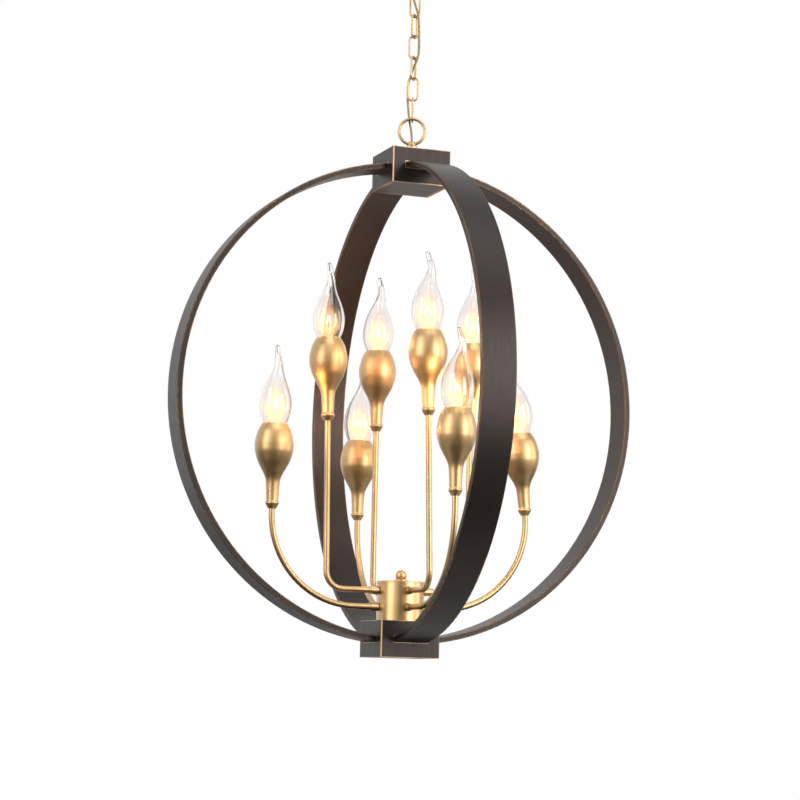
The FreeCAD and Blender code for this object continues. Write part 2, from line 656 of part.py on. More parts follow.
def arm_tube(tier, side):
    depth = HOLDER_FLOOR + HOLDER_FLOOR_THICK + FIT
    outer = pipe(arm_wire(tier, side, ARM_START, depth), ARM_DIA)
    inner = pipe(arm_wire(tier, side, ARM_START, depth), ARM_BORE)
    return placed_arm(outer.cut(inner), tier, side)


def lamp_lead(tier, side):
    depth = HOLDER_FLOOR + HOLDER_FLOOR_THICK
    return placed_arm(pipe(arm_wire(tier, side, LEAD_START, depth), LEAD_DIA), tier, side)


def arm_collar(tier, side):
    near = HUB_DIA / 2 + FIT
    nose = near + ARM_COLLAR_LENGTH - ARM_COLLAR_NOSE
    collar = rod(ARM_COLLAR_DIA, near, nose).fuse(rod(ARM_COLLAR_NOSE_DIA, nose, nose + ARM_COLLAR_NOSE))
    collar = collar.cut(rod(ARM_DIA + 2 * FIT, near - 1, nose + ARM_COLLAR_NOSE + 1))
    return placed_arm(spun(collar, 90, Y_AXIS), tier, side)


def arm_nut(tier, side):
    nut = hex_nut(ARM_NUT_ACROSS, ARM_DIA + 2 * FIT, ARM_NUT_REACH - ARM_NUT_THICK, ARM_NUT_REACH)
    return placed_arm(spun(nut, 90, Y_AXIS), tier, side)


def lamp_cup():
    """Spun tulip cup with a turned lip that slides over the arm."""
    outer = [V(dia / 2, 0, -depth) for depth, dia in CUP_FORM]
    inner = [V(dia / 2 - CUP_WALL, 0, -depth) for depth, dia in CUP_FORM if depth < CUP_HOLLOW]
    lip, bore = CUP_LIP_DIA / 2, ARM_DIA / 2 + FIT
    lip_top = V(lip, 0, outer[-1].z - CUP_LIP_FLARE)
    lip_foot = lip_top - V(0, 0, CUP_LIP_TALL)
    waist = V(lip - CUP_LIP_WAIST, 0, -CUP_LENGTH + CUP_STEP)
    foot = V(bore + CUP_FOOT_WALL, 0, -CUP_LENGTH)
    edges = [smooth(outer), Part.Arc(lip_foot, waist, foot).toShape(), smooth(inner)]
    edges += lines([outer[-1], lip_top, lip_foot])
    edges += lines([foot, V(bore, 0, -CUP_LENGTH), V(bore, 0, -CUP_HOLLOW - CUP_STEP),
                    V(bore + CUP_STEP_WIDTH, 0, -CUP_HOLLOW), V(inner[-1].x, 0, -CUP_HOLLOW), inner[-1]])
    edges += [line(inner[0], outer[0])]
    return turned(edges)


def lampholder():
    floor = -HOLDER_FLOOR
    body = rod(HOLDER_DIA, -HOLDER_TOP - HOLDER_LENGTH, -HOLDER_TOP)
    body = body.cut(rod(HOLDER_BORE, floor, -HOLDER_TOP + 1))
    return body.cut(rod(ARM_DIA + 2 * FIT, -HOLDER_TOP - HOLDER_LENGTH - 1, floor - HOLDER_FLOOR_THICK))


def bulb_glass(turn):
    """Blown envelope with a drawn, bent tail: a shell, open at the neck."""
    def blown(shrink, top):
        rings = [Part.Wire(Part.makeCircle(dia / 2 - shrink, V(side, 0, height), Z_AXIS))
                 for height, dia, side in GLASS_FORM if height <= top]
        return Part.makeLoft(rings, True)

    neck = GLASS_FORM[0]
    mouth = rod(neck[1] - 2 * GLASS_WALL, neck[0] - 1, neck[0] + 1)
    glass = blown(0, GLASS_FORM[-1][0]).cut(blown(GLASS_WALL, GLASS_HOLLOW_TOP)).cut(mouth)
    return spun(glass, turn)


def bulb_base():
    """Candelabra screw base, as a thin cup with a contact at its foot."""
    foot = -HOLDER_FLOOR + CONTACT_GAP
    skirt_end = -BASE_TOP - BASE_SKIRT
    crest, root, skirt = BASE_DIA / 2, BASE_ROOT_DIA / 2, BASE_SKIRT_DIA / 2
    bore, cone, contact = BASE_BORE / 2, BASE_CONE_DIA / 2, BASE_CONTACT_DIA / 2
    points = [V(bore, 0, -BASE_TOP), V(skirt, 0, -BASE_TOP), V(skirt, 0, skirt_end),
              V(crest, 0, skirt_end)]
    turns = int((BASE_THREAD_END + skirt_end) / BASE_PITCH)
    for k in range(turns):
        z = skirt_end - BASE_PITCH * k
        points += [V(crest, 0, z - 0.5 * BASE_PITCH), V(root, 0, z - 0.75 * BASE_PITCH),
                   V(crest, 0, z - BASE_PITCH)]
    points += [V(crest, 0, -BASE_THREAD_END), V(cone, 0, foot + BASE_CONE_FOOT),
               V(contact, 0, foot + BASE_CONTACT_TALL), V(contact, 0, foot), V(0, 0, foot),
               V(0, 0, -BASE_FLOOR), V(bore, 0, -BASE_FLOOR), V(bore, 0, -BASE_TOP)]
    return turned(lines(points))


def filament(turn):
    """Hairpin of support wire that stands on the floor of the base."""
    half = FILAMENT_GAUGE / 2
    top = FILAMENT_TOP - half
    wire = Part.Wire([line(V(-half, 0, -BASE_FLOOR), V(-half, 0, top)),
                      Part.Arc(V(-half, 0, top), V(0, 0, top + half), V(half, 0, top)).toShape(),
                      line(V(half, 0, top), V(half, 0, -BASE_FLOOR))])
    return spun(pipe(wire, FILAMENT_WIRE), turn)


# ---- wiring ------------------------------------------------------------------------------
def cord_points():
    """The cord's route in the part's frame, from the top terminal up to the canopy."""
    angle = math.radians(LOOP_TURN)
    right = V(math.cos(angle), math.sin(angle), 0)
    front = V(math.sin(angle), -math.cos(angle), 0)
    route = [right * u + front * v + V(0, 0, block_top + z) for u, v, z in CORD_ROUTE]
    return [V(0, 0, top_block_z + COVER_THICK + TERMINAL_TALL)] + route + [V(0, 0, -2.0)]


def supply_cord():
    wire, radii = rounded_wire(cord_points())
    cord = pipe(wire, CORD_DIA)
    ratio = cord.Volume / (math.pi * CORD_DIA ** 2 / 4 * wire.Length)
    rounded = [round(radius, 1) for radius in radii]
    print("cord length %.1f, volume ratio %.4f, radii %s" % (wire.Length, ratio, rounded))
    return cord


def feed_cable():
    """Runs inside the left hoop from the top terminal down, and up through the block into the hub."""
    def bend(x, sign):
        reach = hoop_mid - FEED_BEND
        cx = x - FEED_BEND
        cz = sign * math.sqrt(reach ** 2 - cx ** 2)
        touch = V(cx, 0, cz).normalize() * hoop_mid
        angle = math.atan2(cz, cx) / 2
        middle = V(cx + FEED_BEND * math.cos(angle), 0, cz + FEED_BEND * math.sin(angle))
        return V(x, 0, cz), middle, touch

    near, near_mid, near_touch = bend(FEED_DROP_X, 1)
    far, far_mid, far_touch = bend(FEED_X, -1)
    start = V(FEED_DROP_X, 0, top_block_z + COVER_THICK + TERMINAL_TALL - hoop_z)
    end = V(FEED_X, 0, hub_z + HUB_TERMINAL_RISE - hoop_z)
    wire = Part.Wire([line(start, near), Part.Arc(near, near_mid, near_touch).toShape(),
                      Part.Arc(near_touch, V(-hoop_mid, 0, 0), far_touch).toShape(),
                      Part.Arc(far_touch, far_mid, far).toShape(), line(far, end)])
    return moved(pipe(wire, FEED_DIA), y=FEED_Y, z=hoop_z)


def terminal_blocks():
    base = top_block_z + COVER_THICK
    upper = box(TERMINAL_X[0], TERMINAL_X[1], TERMINAL_Y[0], TERMINAL_Y[1], base, base + TERMINAL_TALL)
    foot, half = hub_z + HUB_TERMINAL_RISE, HUB_TERMINAL_HALF
    lower = box(FEED_X - half, FEED_X + half, FEED_Y - half, FEED_Y + half, foot,
                foot + HUB_TERMINAL_TALL)
    return [upper, lower]


# ---- nodes -------------------------------------------------------------------------------
SIDES = ("left", "rear", "front", "right")
lamps = [(tier, side) for tier in TIERS for side in SIDES]

nodes = {
    "ceiling_strap": [ceiling_strap()],
    "canopy_nipple": [canopy_nipple()],
    "canopy_locknuts": canopy_locknuts(),
    "earth_screw": [earth_screw()],
    "canopy_shell": [canopy_shell()],
    "canopy_ring_nut": [ring_nut()],
    "canopy_loop": [canopy_loop()],
    "supply_cord": [supply_cord()],
    "top_loop": [top_loop()],
    "top_nipple": [top_nipple()],
    "frame_locknuts": frame_locknuts(),
    "top_block": [top_block()],
    "top_block_cover": [block_cover(top_block_z)],
    "bottom_block": [bottom_block()],
    "bottom_block_cover": [block_cover(bottom_block_z)],
    "hoop_right": [half_hoop(0)],
    "hoop_rear": [half_hoop(90)],
    "hoop_left": [half_hoop(180)],
    "hoop_front": [half_hoop(270)],
    "hoop_saddles": hoop_saddles(),
    "hoop_screws": hoop_screws(),
    "hub_lower_shell": [hub_lower_shell()],
    "hub_upper_shell": [hub_upper_shell()],
    "hub_lid": [hub_lid()],
    "hub_tie_rod": [tie_rod()],
    "hub_finial": [finial()],
    "arm_collars": [arm_collar(*lamp) for lamp in lamps],
    "arm_nuts": [arm_nut(*lamp) for lamp in lamps],
    "lampholders": [placed_lamp(lampholder(), *lamp) for lamp in lamps],
    "internal_wiring": [feed_cable()] + [lamp_lead(*lamp) for lamp in lamps],
    "terminal_blocks": terminal_blocks(),
}
for number in range(link_count):
    nodes["chain_link_%d" % (number + 1)] = [chain_link(number)]
for tier in TIERS:
    nodes[tier + "_arms"] = [arm_tube(tier, side) for side in SIDES]
    nodes[tier + "_cups"] = [placed_lamp(lamp_cup(), tier, side) for side in SIDES]
for tier, side in lamps:
    tail = TAIL_TURNS[tier, side]
    nodes["bulb_glass_%s_%s" % (tier, side)] = [placed_lamp(bulb_glass(tail), tier, side)]
    nodes["bulb_base_%s_%s" % (tier, side)] = [placed_lamp(bulb_base(), tier, side),
                                               placed_lamp(filament(tail), tier, side)]

os.makedirs("parts", exist_ok=True)
for name, solids in nodes.items():
    for solid in solids:
        if not solid.isValid() or len(solid.Solids) != 1:
            print("check", name, solid.isValid(), len(solid.Solids))
    shape = solids[0] if len(solids) == 1 else Part.makeCompound(solids)
    shape.exportStep("parts/%s.step" % name)
print(len(nodes), "nodes; hoop centre", round(hoop_z, 2), "orb foot", round(bottom_block_z, 2))
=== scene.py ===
"""Orb chandelier: finishes, glass, glow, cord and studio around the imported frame.

Lengths are in millimetres and angles in degrees, unless a comment says otherwise. A value that
is multiplied by MM is in metres, as Blender has it. Heights are over the ceiling, so they are
negative, unless they are given over a piece.
"""

import json
import logging
import math
from dataclasses import dataclass
from enum import Enum

import bmesh
import bpy
from mathutils import Matrix, Vector

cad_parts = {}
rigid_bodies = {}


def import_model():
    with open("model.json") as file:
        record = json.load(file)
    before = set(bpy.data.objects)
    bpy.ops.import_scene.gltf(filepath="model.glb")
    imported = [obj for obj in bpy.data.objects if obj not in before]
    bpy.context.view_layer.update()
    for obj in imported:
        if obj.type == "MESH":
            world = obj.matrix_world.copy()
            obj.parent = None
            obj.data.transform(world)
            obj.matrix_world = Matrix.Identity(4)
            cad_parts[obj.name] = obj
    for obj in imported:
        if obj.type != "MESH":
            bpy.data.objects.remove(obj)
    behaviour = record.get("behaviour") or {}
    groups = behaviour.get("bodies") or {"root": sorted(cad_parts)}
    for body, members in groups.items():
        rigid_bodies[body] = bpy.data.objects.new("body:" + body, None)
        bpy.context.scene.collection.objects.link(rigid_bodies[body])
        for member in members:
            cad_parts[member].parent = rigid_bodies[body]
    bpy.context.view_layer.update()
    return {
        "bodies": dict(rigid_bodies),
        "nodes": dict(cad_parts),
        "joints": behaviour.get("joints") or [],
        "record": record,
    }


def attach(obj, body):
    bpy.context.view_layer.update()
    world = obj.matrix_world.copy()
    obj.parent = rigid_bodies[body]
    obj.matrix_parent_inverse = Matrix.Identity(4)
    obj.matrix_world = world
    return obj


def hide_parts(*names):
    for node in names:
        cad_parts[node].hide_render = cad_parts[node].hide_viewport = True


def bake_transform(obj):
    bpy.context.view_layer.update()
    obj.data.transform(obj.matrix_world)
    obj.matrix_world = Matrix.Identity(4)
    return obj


LOG = logging.getLogger("orb_chandelier")
MM = 0.001
CEILING_TO_ORB = 583.7  # from the ceiling down to the middle of the hoops
HUB_FOOT = -836.3  # height of the hub's foot
BLOCK_TOP = -289.1  # height of the top block's upper face
BLOCK_SIDE = 71.5  # side of the two square blocks
FACING = math.radians(-20.7)  # the loops and every second link face this way


class Side(Enum):
    """The four directions in which arms leave the hub, as azimuths."""

    RIGHT = 0.0
    REAR = 90.0
    LEFT = 180.0
    FRONT = 270.0


class Tier(Enum):
    """The two rings of lamps: height of the port over the hub's foot, and radius of the bend."""

    INNER = (34.6, 20.0)
    OUTER = (15.6, 102.0)


# ---- colour and node helpers ---------------------------------------------------------------------


def colour(code: str, alpha: float = 1.0) -> tuple[float, float, float, float]:
    """Turns an sRGB hex colour to linear light.

    Args:
        code: six hex digits after a hash sign.
        alpha: opacity.

    Returns:
        Red, green, blue and alpha for a shader socket.
    """
    parts = [int(code[i : i + 2], 16) / 255 for i in (1, 3, 5)]
    linear = [p / 12.92 if p <= 0.04045 else ((p + 0.055) / 1.055) ** 2.4 for p in parts]
    return (linear[0], linear[1], linear[2], alpha)


def add(
    tree: bpy.types.NodeTree, kind: str, settings: dict | None = None, links: dict | None = None
) -> bpy.types.Node:
    """Adds a node to a tree.

    Args:
        tree: the node tree.
        kind: the node's type name.
        settings: properties to set on the node.
        links: input name or number to a plain value, or to the output socket that feeds it.

    Returns:
        The new node.
    """
    node = tree.nodes.new(kind)
    for name, value in (settings or {}).items():
        setattr(node, name, value)
    for name, value in (links or {}).items():
        if isinstance(value, bpy.types.NodeSocket):
            tree.links.new(value, node.inputs[name])
        else:
            node.inputs[name].default_value = value
    return node


def new_tree(name: str) -> tuple[bpy.types.Material, bpy.types.NodeTree]:
    """Makes an empty node material.

    Args:
        name: the material's name.

    Returns:
        The material and its node tree.
    """
    material = bpy.data.materials.new(name)
    material.use_nodes = True
    material.node_tree.nodes.clear()
    return material, material.node_tree


# ---- finishes ------------------------------------------------------------------------------------


@dataclass(frozen=True)
class BlackenedBronze:
    """Steel under a blackened bronze paint, brushed on and rubbed back by hand.

    The brush leaves long faint streaks and a satin sheen. Rubbing takes the dark coat off the
    sharp edges, so a thin line of gold shows there. On a box, the pale line down the rounded
    upright corners is partly this wear and partly painted highlight, which is fullest on the corner
    that faces the front left, towards the camera.
    """

    name: str = "blackened_bronze_paint"
    coat: str = "#241b17"
    rubbed_gold_and_highlight: str = "#c08f4c"
    metallic: float = 0.6  # bronze powder in the paint
    roughness: float = 0.38
    roughness_spread: tuple[float, float] = (-0.03, 0.05)  # over the streaks
    tone_spread: tuple[float, float] = (0.88, 1.1)  # of the coat, over its patches
    patch: float = 71.43 * MM  # size of the patches in which tone and wear vary
    streak: float = 1.4 * MM  # spacing of the brush streaks
    streak_pull: float = 0.06  # width of a streak over its length
    edge: float = 1.5 * MM  # how far the rubbing reaches from an edge
    edge_turn: tuple[float, float] = (0.992, 0.955)  # cosine of the edge's turn: whole, worn
    least_wear: float = 0.35  # of an edge, in the patches that the rubbing missed
    # On a box, a pale line runs down the rounded upright corners. It is wear on all of them, and painted
    # highlight makes it full on the corner that faces the front left, towards the camera.
    box_side: float = 0.0  # side of an upright square box whose rounded corners get the line too
    box_corner: float = 2.0 * MM  # radius of those corners
    corner_wear_and_highlight: tuple[float, float] = (0.88, 0.66)  # the line's rim and core, in corner radii
    least_corner: float = 0.25  # wear of the corners that face away from the front left

    def add_wear_and_corner_highlight(self, tree: bpy.types.NodeTree, place: bpy.types.NodeSocket,
                 cloud: bpy.types.NodeSocket) -> bpy.types.NodeSocket:
        """Adds the nodes that find the rubbed edges, and on a box the corner line,
        which is painted highlight on its front-left corner.

        Args:
            tree: the material's node tree.
            place: the point on the piece.
            cloud: the noise of the patches.

        Returns:
            The socket with the wear and the painted corner highlight, from 0 on whole paint to 1 on
            bare gold.
        """
        soft = add(tree, "ShaderNodeBevel", {"samples": 8}, {"Radius": self.edge})
        shape = add(tree, "ShaderNodeNewGeometry")
        turn = add(tree, "ShaderNodeVectorMath", {"operation": "DOT_PRODUCT"}, {
            0: soft.outputs["Normal"], 1: shape.outputs["Normal"]})
        worn = add(tree, "ShaderNodeMapRange", None, {
            "Value": turn.outputs["Value"],
            "From Min": self.edge_turn[0], "From Max": self.edge_turn[1]})
        patchy = add(tree, "ShaderNodeMapRange", None, {
            "Value": cloud, "From Min": 0.36, "From Max": 0.54, "To Min": self.least_wear})
        edge = add(tree, "ShaderNodeMath", {"operation": "MULTIPLY"}, {
            0: worn.outputs["Result"], 1: patchy.outputs["Result"]})
        if not self.box_side:
            return edge.outputs["Value"]
        # |x| + |y| is greatest in the middle of a rounded corner.
        spot = add(tree, "ShaderNodeVectorMath", {"operation": "ABSOLUTE"}, {0: place})
        outward = add(tree, "ShaderNodeVectorMath", {"operation": "DOT_PRODUCT"}, {
            0: spot.outputs["Vector"], 1: (1.0, 1.0, 0.0)})
        rim, core = (self.box_side - share * self.box_corner for share in self.corner_wear_and_highlight)
        corner = add(tree, "ShaderNodeMapRange", None, {
            "Value": outward.outputs["Value"], "From Min": rim, "From Max": core})
        # Painted highlight: the corner line is full on the corner that faces the front left, towards the
        # camera, and only wear on the others.
        facing = add(tree, "ShaderNodeVectorMath", {"operation": "DOT_PRODUCT"}, {
            0: place, 1: (-1.0, -1.0, 0.0)})
        front_left_highlight = add(tree, "ShaderNodeMapRange", None, {
            "Value": facing.outputs["Value"], "From Min": 0.0, "From Max": self.box_side,
            "To Min": self.least_corner})
        line = add(tree, "ShaderNodeMath", {"operation": "MULTIPLY"}, {
            0: corner.outputs["Result"], 1: front_left_highlight.outputs["Result"]})
        both = add(tree, "ShaderNodeMath", {"operation": "MAXIMUM"}, {
            0: edge.outputs["Value"], 1: line.outputs["Value"]})
        return both.outputs["Value"]

    def make(self) -> bpy.types.Material:
        """Builds the material.

        Returns:
            The paint.
        """
        material, tree = new_tree(self.name)
        place = add(tree, "ShaderNodeTexCoord").outputs["Object"]
        cloud = add(tree, "ShaderNodeTexNoise", None, {
            "Vector": place, "Scale": 1 / self.patch, "Detail": 3.0}).outputs["Fac"]
        stretch = add(tree, "ShaderNodeMapping", None, {
            "Vector": place, "Scale": (1.0, 1.0, self.streak_pull)})
        brushed = add(tree, "ShaderNodeTexNoise", None, {
            "Vector": stretch.outputs["Vector"], "Scale": 1 / self.streak, "Detail": 2.0})
        tone = add(tree, "ShaderNodeMapRange", None, {
            "Value": cloud, "From Min": 0.35, "From Max": 0.65,
            "To Min": self.tone_spread[0], "To Max": self.tone_spread[1]})
        dark = add(tree, "ShaderNodeMix", {"data_type": "RGBA", "blend_type": "MULTIPLY"}, {
            0: 1.0, 6: colour(self.coat), 7: tone.outputs["Result"]})
        # On the blocks, this gold also paints the highlight down the front-left corner.
        paint = add(tree, "ShaderNodeMix", {"data_type": "RGBA"}, {
            0: self.add_wear_and_corner_highlight(tree, place, cloud), 6: dark.outputs[2], 7: colour(self.rubbed_gold_and_highlight)})
        gloss = add(tree, "ShaderNodeMapRange", None, {
            "Value": brushed.outputs["Fac"], "From Min": 0.3, "From Max": 0.7,
            "To Min": self.roughness + self.roughness_spread[0],
            "To Max": self.roughness + self.roughness_spread[1]})
        bump = add(tree, "ShaderNodeBump", None, {
            "Height": brushed.outputs["Fac"], "Strength": 0.08, "Distance": 0.05 * MM})
        shader = add(tree, "ShaderNodeBsdfPrincipled", None, {
            "Base Color": paint.outputs[2], "Metallic": self.metallic,
            "Roughness": gloss.outputs["Result"], "Normal": bump.outputs["Normal"]})
        add(tree, "ShaderNodeOutputMaterial", None, {"Surface": shader.outputs["BSDF"]})
        return material


@dataclass(frozen=True)
class SatinBrass:
    """Brass, rubbed satin and lacquered to an aged gold: the clear lacquer pales the highlights.

    On turned pieces the rubbing runs round the axis, which spreads a light into an upright band.
    """

    name: str
    anisotropy: float
    metal: str = "#bf9b66"
    shade: str = "#a28050"
    most_shade: float = 0.6  # how far the tone goes towards the shade
    roughness: float = 0.4
    roughness_spread: tuple[float, float] = (-0.02, 0.03)  # over the rubbing lines
    coat_roughness: float = 0.3
    patch: float = 33.33 * MM  # size of the patches in which the tone varies
    grain: float = 0.6 * MM  # spacing of the rubbing lines
    grain_pull: float = 0.05  # width of a line over its length

    def make(self) -> bpy.types.Material:
        """Builds the material.

        Returns:
            The brass.
        """
        material, tree = new_tree(self.name)
        place = add(tree, "ShaderNodeTexCoord").outputs["Object"]
        rings = add(tree, "ShaderNodeMapping", None, {
            "Vector": place, "Scale": (self.grain_pull, self.grain_pull, 1.0)})
        lines = add(tree, "ShaderNodeTexNoise", None, {
            "Vector": rings.outputs["Vector"], "Scale": 1 / self.grain, "Detail": 2.0})
        cloud = add(tree, "ShaderNodeTexNoise", None, {
            "Vector": place, "Scale": 1 / self.patch, "Detail": 2.0})
        age = add(tree, "ShaderNodeMapRange", None, {
            "Value": cloud.outputs["Fac"], "From Min": 0.35, "From Max": 0.7,
            "To Max": self.most_shade})
        metal = add(tree, "ShaderNodeMix", {"data_type": "RGBA"}, {
            0: age.outputs["Result"], 6: colour(self.metal), 7: colour(self.shade)})
        gloss = add(tree, "ShaderNodeMapRange", None, {
            "Value": lines.outputs["Fac"], "From Min": 0.3, "From Max": 0.7,
            "To Min": self.roughness + self.roughness_spread[0],
            "To Max": self.roughness + self.roughness_spread[1]})
        bump = add(tree, "ShaderNodeBump", None, {
            "Height": lines.outputs["Fac"], "Strength": 0.015, "Distance": 0.02 * MM})
        round_axis = add(tree, "ShaderNodeTangent", {"direction_type": "RADIAL", "axis": "Z"})
        shader = add(tree, "ShaderNodeBsdfPrincipled", None, {
            "Base Color": metal.outputs[2], "Metallic": 1.0, "Roughness": gloss.outputs["Result"],
            "Normal": bump.outputs["Normal"], "Anisotropic": self.anisotropy,
            "Tangent": round_axis.outputs["Tangent"],
            "Coat Weight": 1.0, "Coat Roughness": self.coat_roughness})
        add(tree, "ShaderNodeOutputMaterial", None, {"Surface": shader.outputs["BSDF"]})
        return material


@dataclass(frozen=True)
class PlainMaterial:
    """A moulded, plated or drawn material whose tone and gloss vary a little over the surface."""

    name: str
    base: str
    metallic: float
    roughness: float
    roughness_spread: tuple[float, float] = (-0.04, 0.06)
    mottle: float = 0.08  # how much the tone varies
    patch: float = 16.67 * MM  # size of the patches in which tone and gloss vary

    def make(self) -> bpy.types.Material:
        """Builds the material.

        Returns:
            The material.
        """
        material, tree = new_tree(self.name)
        place = add(tree, "ShaderNodeTexCoord")
        cloud = add(tree, "ShaderNodeTexNoise", None, {
            "Vector": place.outputs["Object"], "Scale": 1 / self.patch, "Detail": 4.0})
        tone = add(tree, "ShaderNodeMapRange", None, {
            "Value": cloud.outputs["Fac"], "From Min": 0.3, "From Max": 0.7,
            "To Min": 1 - self.mottle, "To Max": 1 + self.mottle})
        base = add(tree, "ShaderNodeMix", {"data_type": "RGBA", "blend_type": "MULTIPLY"}, {
            0: 1.0, 6: colour(self.base), 7: tone.outputs["Result"]})
        gloss = add(tree, "ShaderNodeMapRange", None, {
            "Value": cloud.outputs["Fac"], "From Min": 0.3, "From Max": 0.7,
            "To Min": self.roughness + self.roughness_spread[0],
            "To Max": self.roughness + self.roughness_spread[1]})
        shader = add(tree, "ShaderNodeBsdfPrincipled", None, {
            "Base Color": base.outputs[2], "Metallic": self.metallic,
            "Roughness": gloss.outputs["Result"]})
        add(tree, "ShaderNodeOutputMaterial", None, {"Surface": shader.outputs["BSDF"]})
        return material


@dataclass(frozen=True)
class LampGlass:
    """Clear soda-lime lamp glass, blown thin: nearly nothing face on, grey at its edges."""

    name: str = "blown_lamp_glass"
    tint: str = "#faf7f5"
    roughness: float = 0.04
    ior: float = 1.45

    def make(self) -> bpy.types.Material:
        """Builds the material.

        Returns:
            The glass.
        """
        material, tree = new_tree(self.name)
        shader = add(tree, "ShaderNodeBsdfPrincipled", None, {
            "Base Color": colour(self.tint), "Roughness": self.roughness, "IOR": self.ior,
            "Transmission Weight": 1.0})
        add(tree, "ShaderNodeOutputMaterial", None, {"Surface": shader.outputs["BSDF"]})
        return material


@dataclass(frozen=True)
class Glow:
    """Light of the filament: its hot wire, or the soft shine that it gives the air in the bulb."""

    name: str
    light: str
    strength: float
    cover: float = 1.0  # opacity of the skin
    haze: float = 0.0  # how much the shine inside takes over what lies behind, per metre
    fill: float = 0.0  # light of the shine inside, per metre

    def make(self) -> bpy.types.Material:
        """Builds the material.

        Returns:
            The glowing skin, with the shine inside it where it has haze.
        """
        material, tree = new_tree(self.name)
        shader = add(tree, "ShaderNodeBsdfPrincipled", None, {
            "Base Color": colour("#000000"), "Roughness": 1.0, "Specular IOR Level": 0.0,
            "Alpha": self.cover,
            "Emission Color": colour(self.light), "Emission Strength": self.strength})
        output = add(tree, "ShaderNodeOutputMaterial", None, {"Surface": shader.outputs["BSDF"]})
        if self.haze:
            veil = add(tree, "ShaderNodeVolumeAbsorption", None, {
                "Color": colour(self.light), "Density": self.haze})
            shine = add(tree, "ShaderNodeEmission", None, {
                "Color": colour(self.light), "Strength": self.fill})
            both = add(tree, "ShaderNodeAddShader", None, {
                0: veil.outputs["Volume"], 1: shine.outputs["Emission"]})
            tree.links.new(both.outputs["Shader"], output.inputs["Volume"])
        return material


@dataclass(frozen=True)
class Finishes:
    """Every material of the chandelier, made once."""

    bronze: bpy.types.Material
    bronze_box: bpy.types.Material
    turned_brass: bpy.types.Material
    hub_brass: bpy.types.Material
    brass: bpy.types.Material
    steel: bpy.types.Material
    phenolic: bpy.types.Material
    base: bpy.types.Material
    cord: bpy.types.Material
    wire: bpy.types.Material
    glass: bpy.types.Material
    filament: bpy.types.Material
    shine: tuple[bpy.types.Material, ...]

    @classmethod
    def make(cls) -> "Finishes":
        """Builds every material.

        Returns:
            The set.
        """
        return cls(
            bronze=BlackenedBronze().make(),
            # The same paint on the two blocks, in a paler gold: the line down their upright corners is
            # rubbed wear, and painted highlight on the corner that faces the front left.
            bronze_box=BlackenedBronze(
                "blackened_bronze_paint_box", rubbed_gold_and_highlight="#c9a678", box_side=BLOCK_SIDE * MM).make(),
            # Turned or spun brass: its rubbing lines run round the axis.
            turned_brass=SatinBrass("turned_satin_brass", 0.4).make(),
            # The hub's straight sides come off the lathe smoother, so its bands are sharper.
            hub_brass=SatinBrass(
                "turned_satin_brass_hub", 0.5, roughness=0.33, coat_roughness=0.24).make(),
            # Brass that was drawn to a tube or wire, or cast: rubbed every way.
            brass=SatinBrass("drawn_satin_brass", 0.0).make(),
            # Zinc plated steel: bright and faintly mottled.
            steel=PlainMaterial("zinc_plated_steel", "#b9b8b2", 1.0, 0.35).make(),
            # Phenolic: dark, hard and slightly glossy as it leaves the mould.
            phenolic=PlainMaterial("moulded_phenolic", "#2a2320", 0.0, 0.4).make(),
            # Drawn brass of a lamp base: brighter and yellower than the aged gold.
            base=PlainMaterial("drawn_lamp_brass", "#d8b878", 1.0, 0.25).make(),
            # Extruded vinyl: a clear gold jacket over copper wires, which reads as olive gold.
            cord=PlainMaterial(
                "gold_vinyl_jacket", "#8f7a45", 0.35, 0.32, mottle=0.12, patch=8.33 * MM).make(),
            # Black extruded vinyl of the wires inside: dark and faintly glossy.
            wire=PlainMaterial("black_vinyl_jacket", "#1c1a19", 0.0, 0.4).make(),
            glass=LampGlass().make(),
            # Coiled tungsten wire, white hot.
            filament=Glow("hot_tungsten", "#fff3dc", 12.0).make(),
            # The light in the bulb's air, from its faint outer cloud to its white core.
            shine=(
                Glow("outer_shine", "#ffd6a4", 1.0, 0.01, 26.0, 11.0).make(),
                Glow("filament_shine", "#ffe6c0", 1.05, 0.02, 38.0, 34.0).make(),
                Glow("hot_core", "#fff6e4", 1.3, 0.02, 20.0, 180.0).make()))


# ---- mesh helpers --------------------------------------------------------------------------------


def new_piece(
    name: str, mesh: bpy.types.Mesh, materials: list[bpy.types.Material], smooth: bool = True
) -> bpy.types.Object:
    """Links a mesh to the scene as a piece.

    Args:
        name: the piece's name.
        mesh: its mesh.
        materials: its materials, in the order of the faces' numbers.
        smooth: whether every face is shaded smooth.

    Returns:
        The piece.
    """
    for material in materials:
        mesh.materials.append(material)
    if smooth:
        mesh.shade_smooth()
    piece = bpy.data.objects.new(name, mesh)
    bpy.context.scene.collection.objects.link(piece)
    LOG.info("piece %s", name)
    return piece


def new_lamp(name: str, light: bpy.types.Light) -> bpy.types.Object:
    """Links a light to the scene, hidden from the camera.

    Args:
        name: the lamp's name.
        light: its light.

    Returns:
        The lamp.
    """
    lamp = bpy.data.objects.new(name, light)
    bpy.context.scene.collection.objects.link(lamp)
    lamp.visible_camera = False
    return lamp


def smooth_run(points: list[tuple[float, ...]], steps: int) -> list[tuple[float, ...]]:
    """Runs a smooth line through points.

    Args:
        points: the points, each as some numbers.
        steps: new points for each gap.

    Returns:
        The points of the line, the given ones included.
    """
    line: list[tuple[float, ...]] = []
    last = len(points) - 1
    for i in range(last):
        near = (points[max(i - 1, 0)], points[i], points[i + 1], points[min(i + 2, last)])
        for k in range(steps):
            t = k / steps
            weights = (-t + 2 * t * t - t**3, 2 - 5 * t * t + 3 * t**3,
                       t + 4 * t * t - 3 * t**3, -t * t + t**3)
            line.append(tuple(0.5 * sum(w * p[j] for w, p in zip(weights, near))
                              for j in range(len(points[0]))))
    line.append(points[-1])
    return line


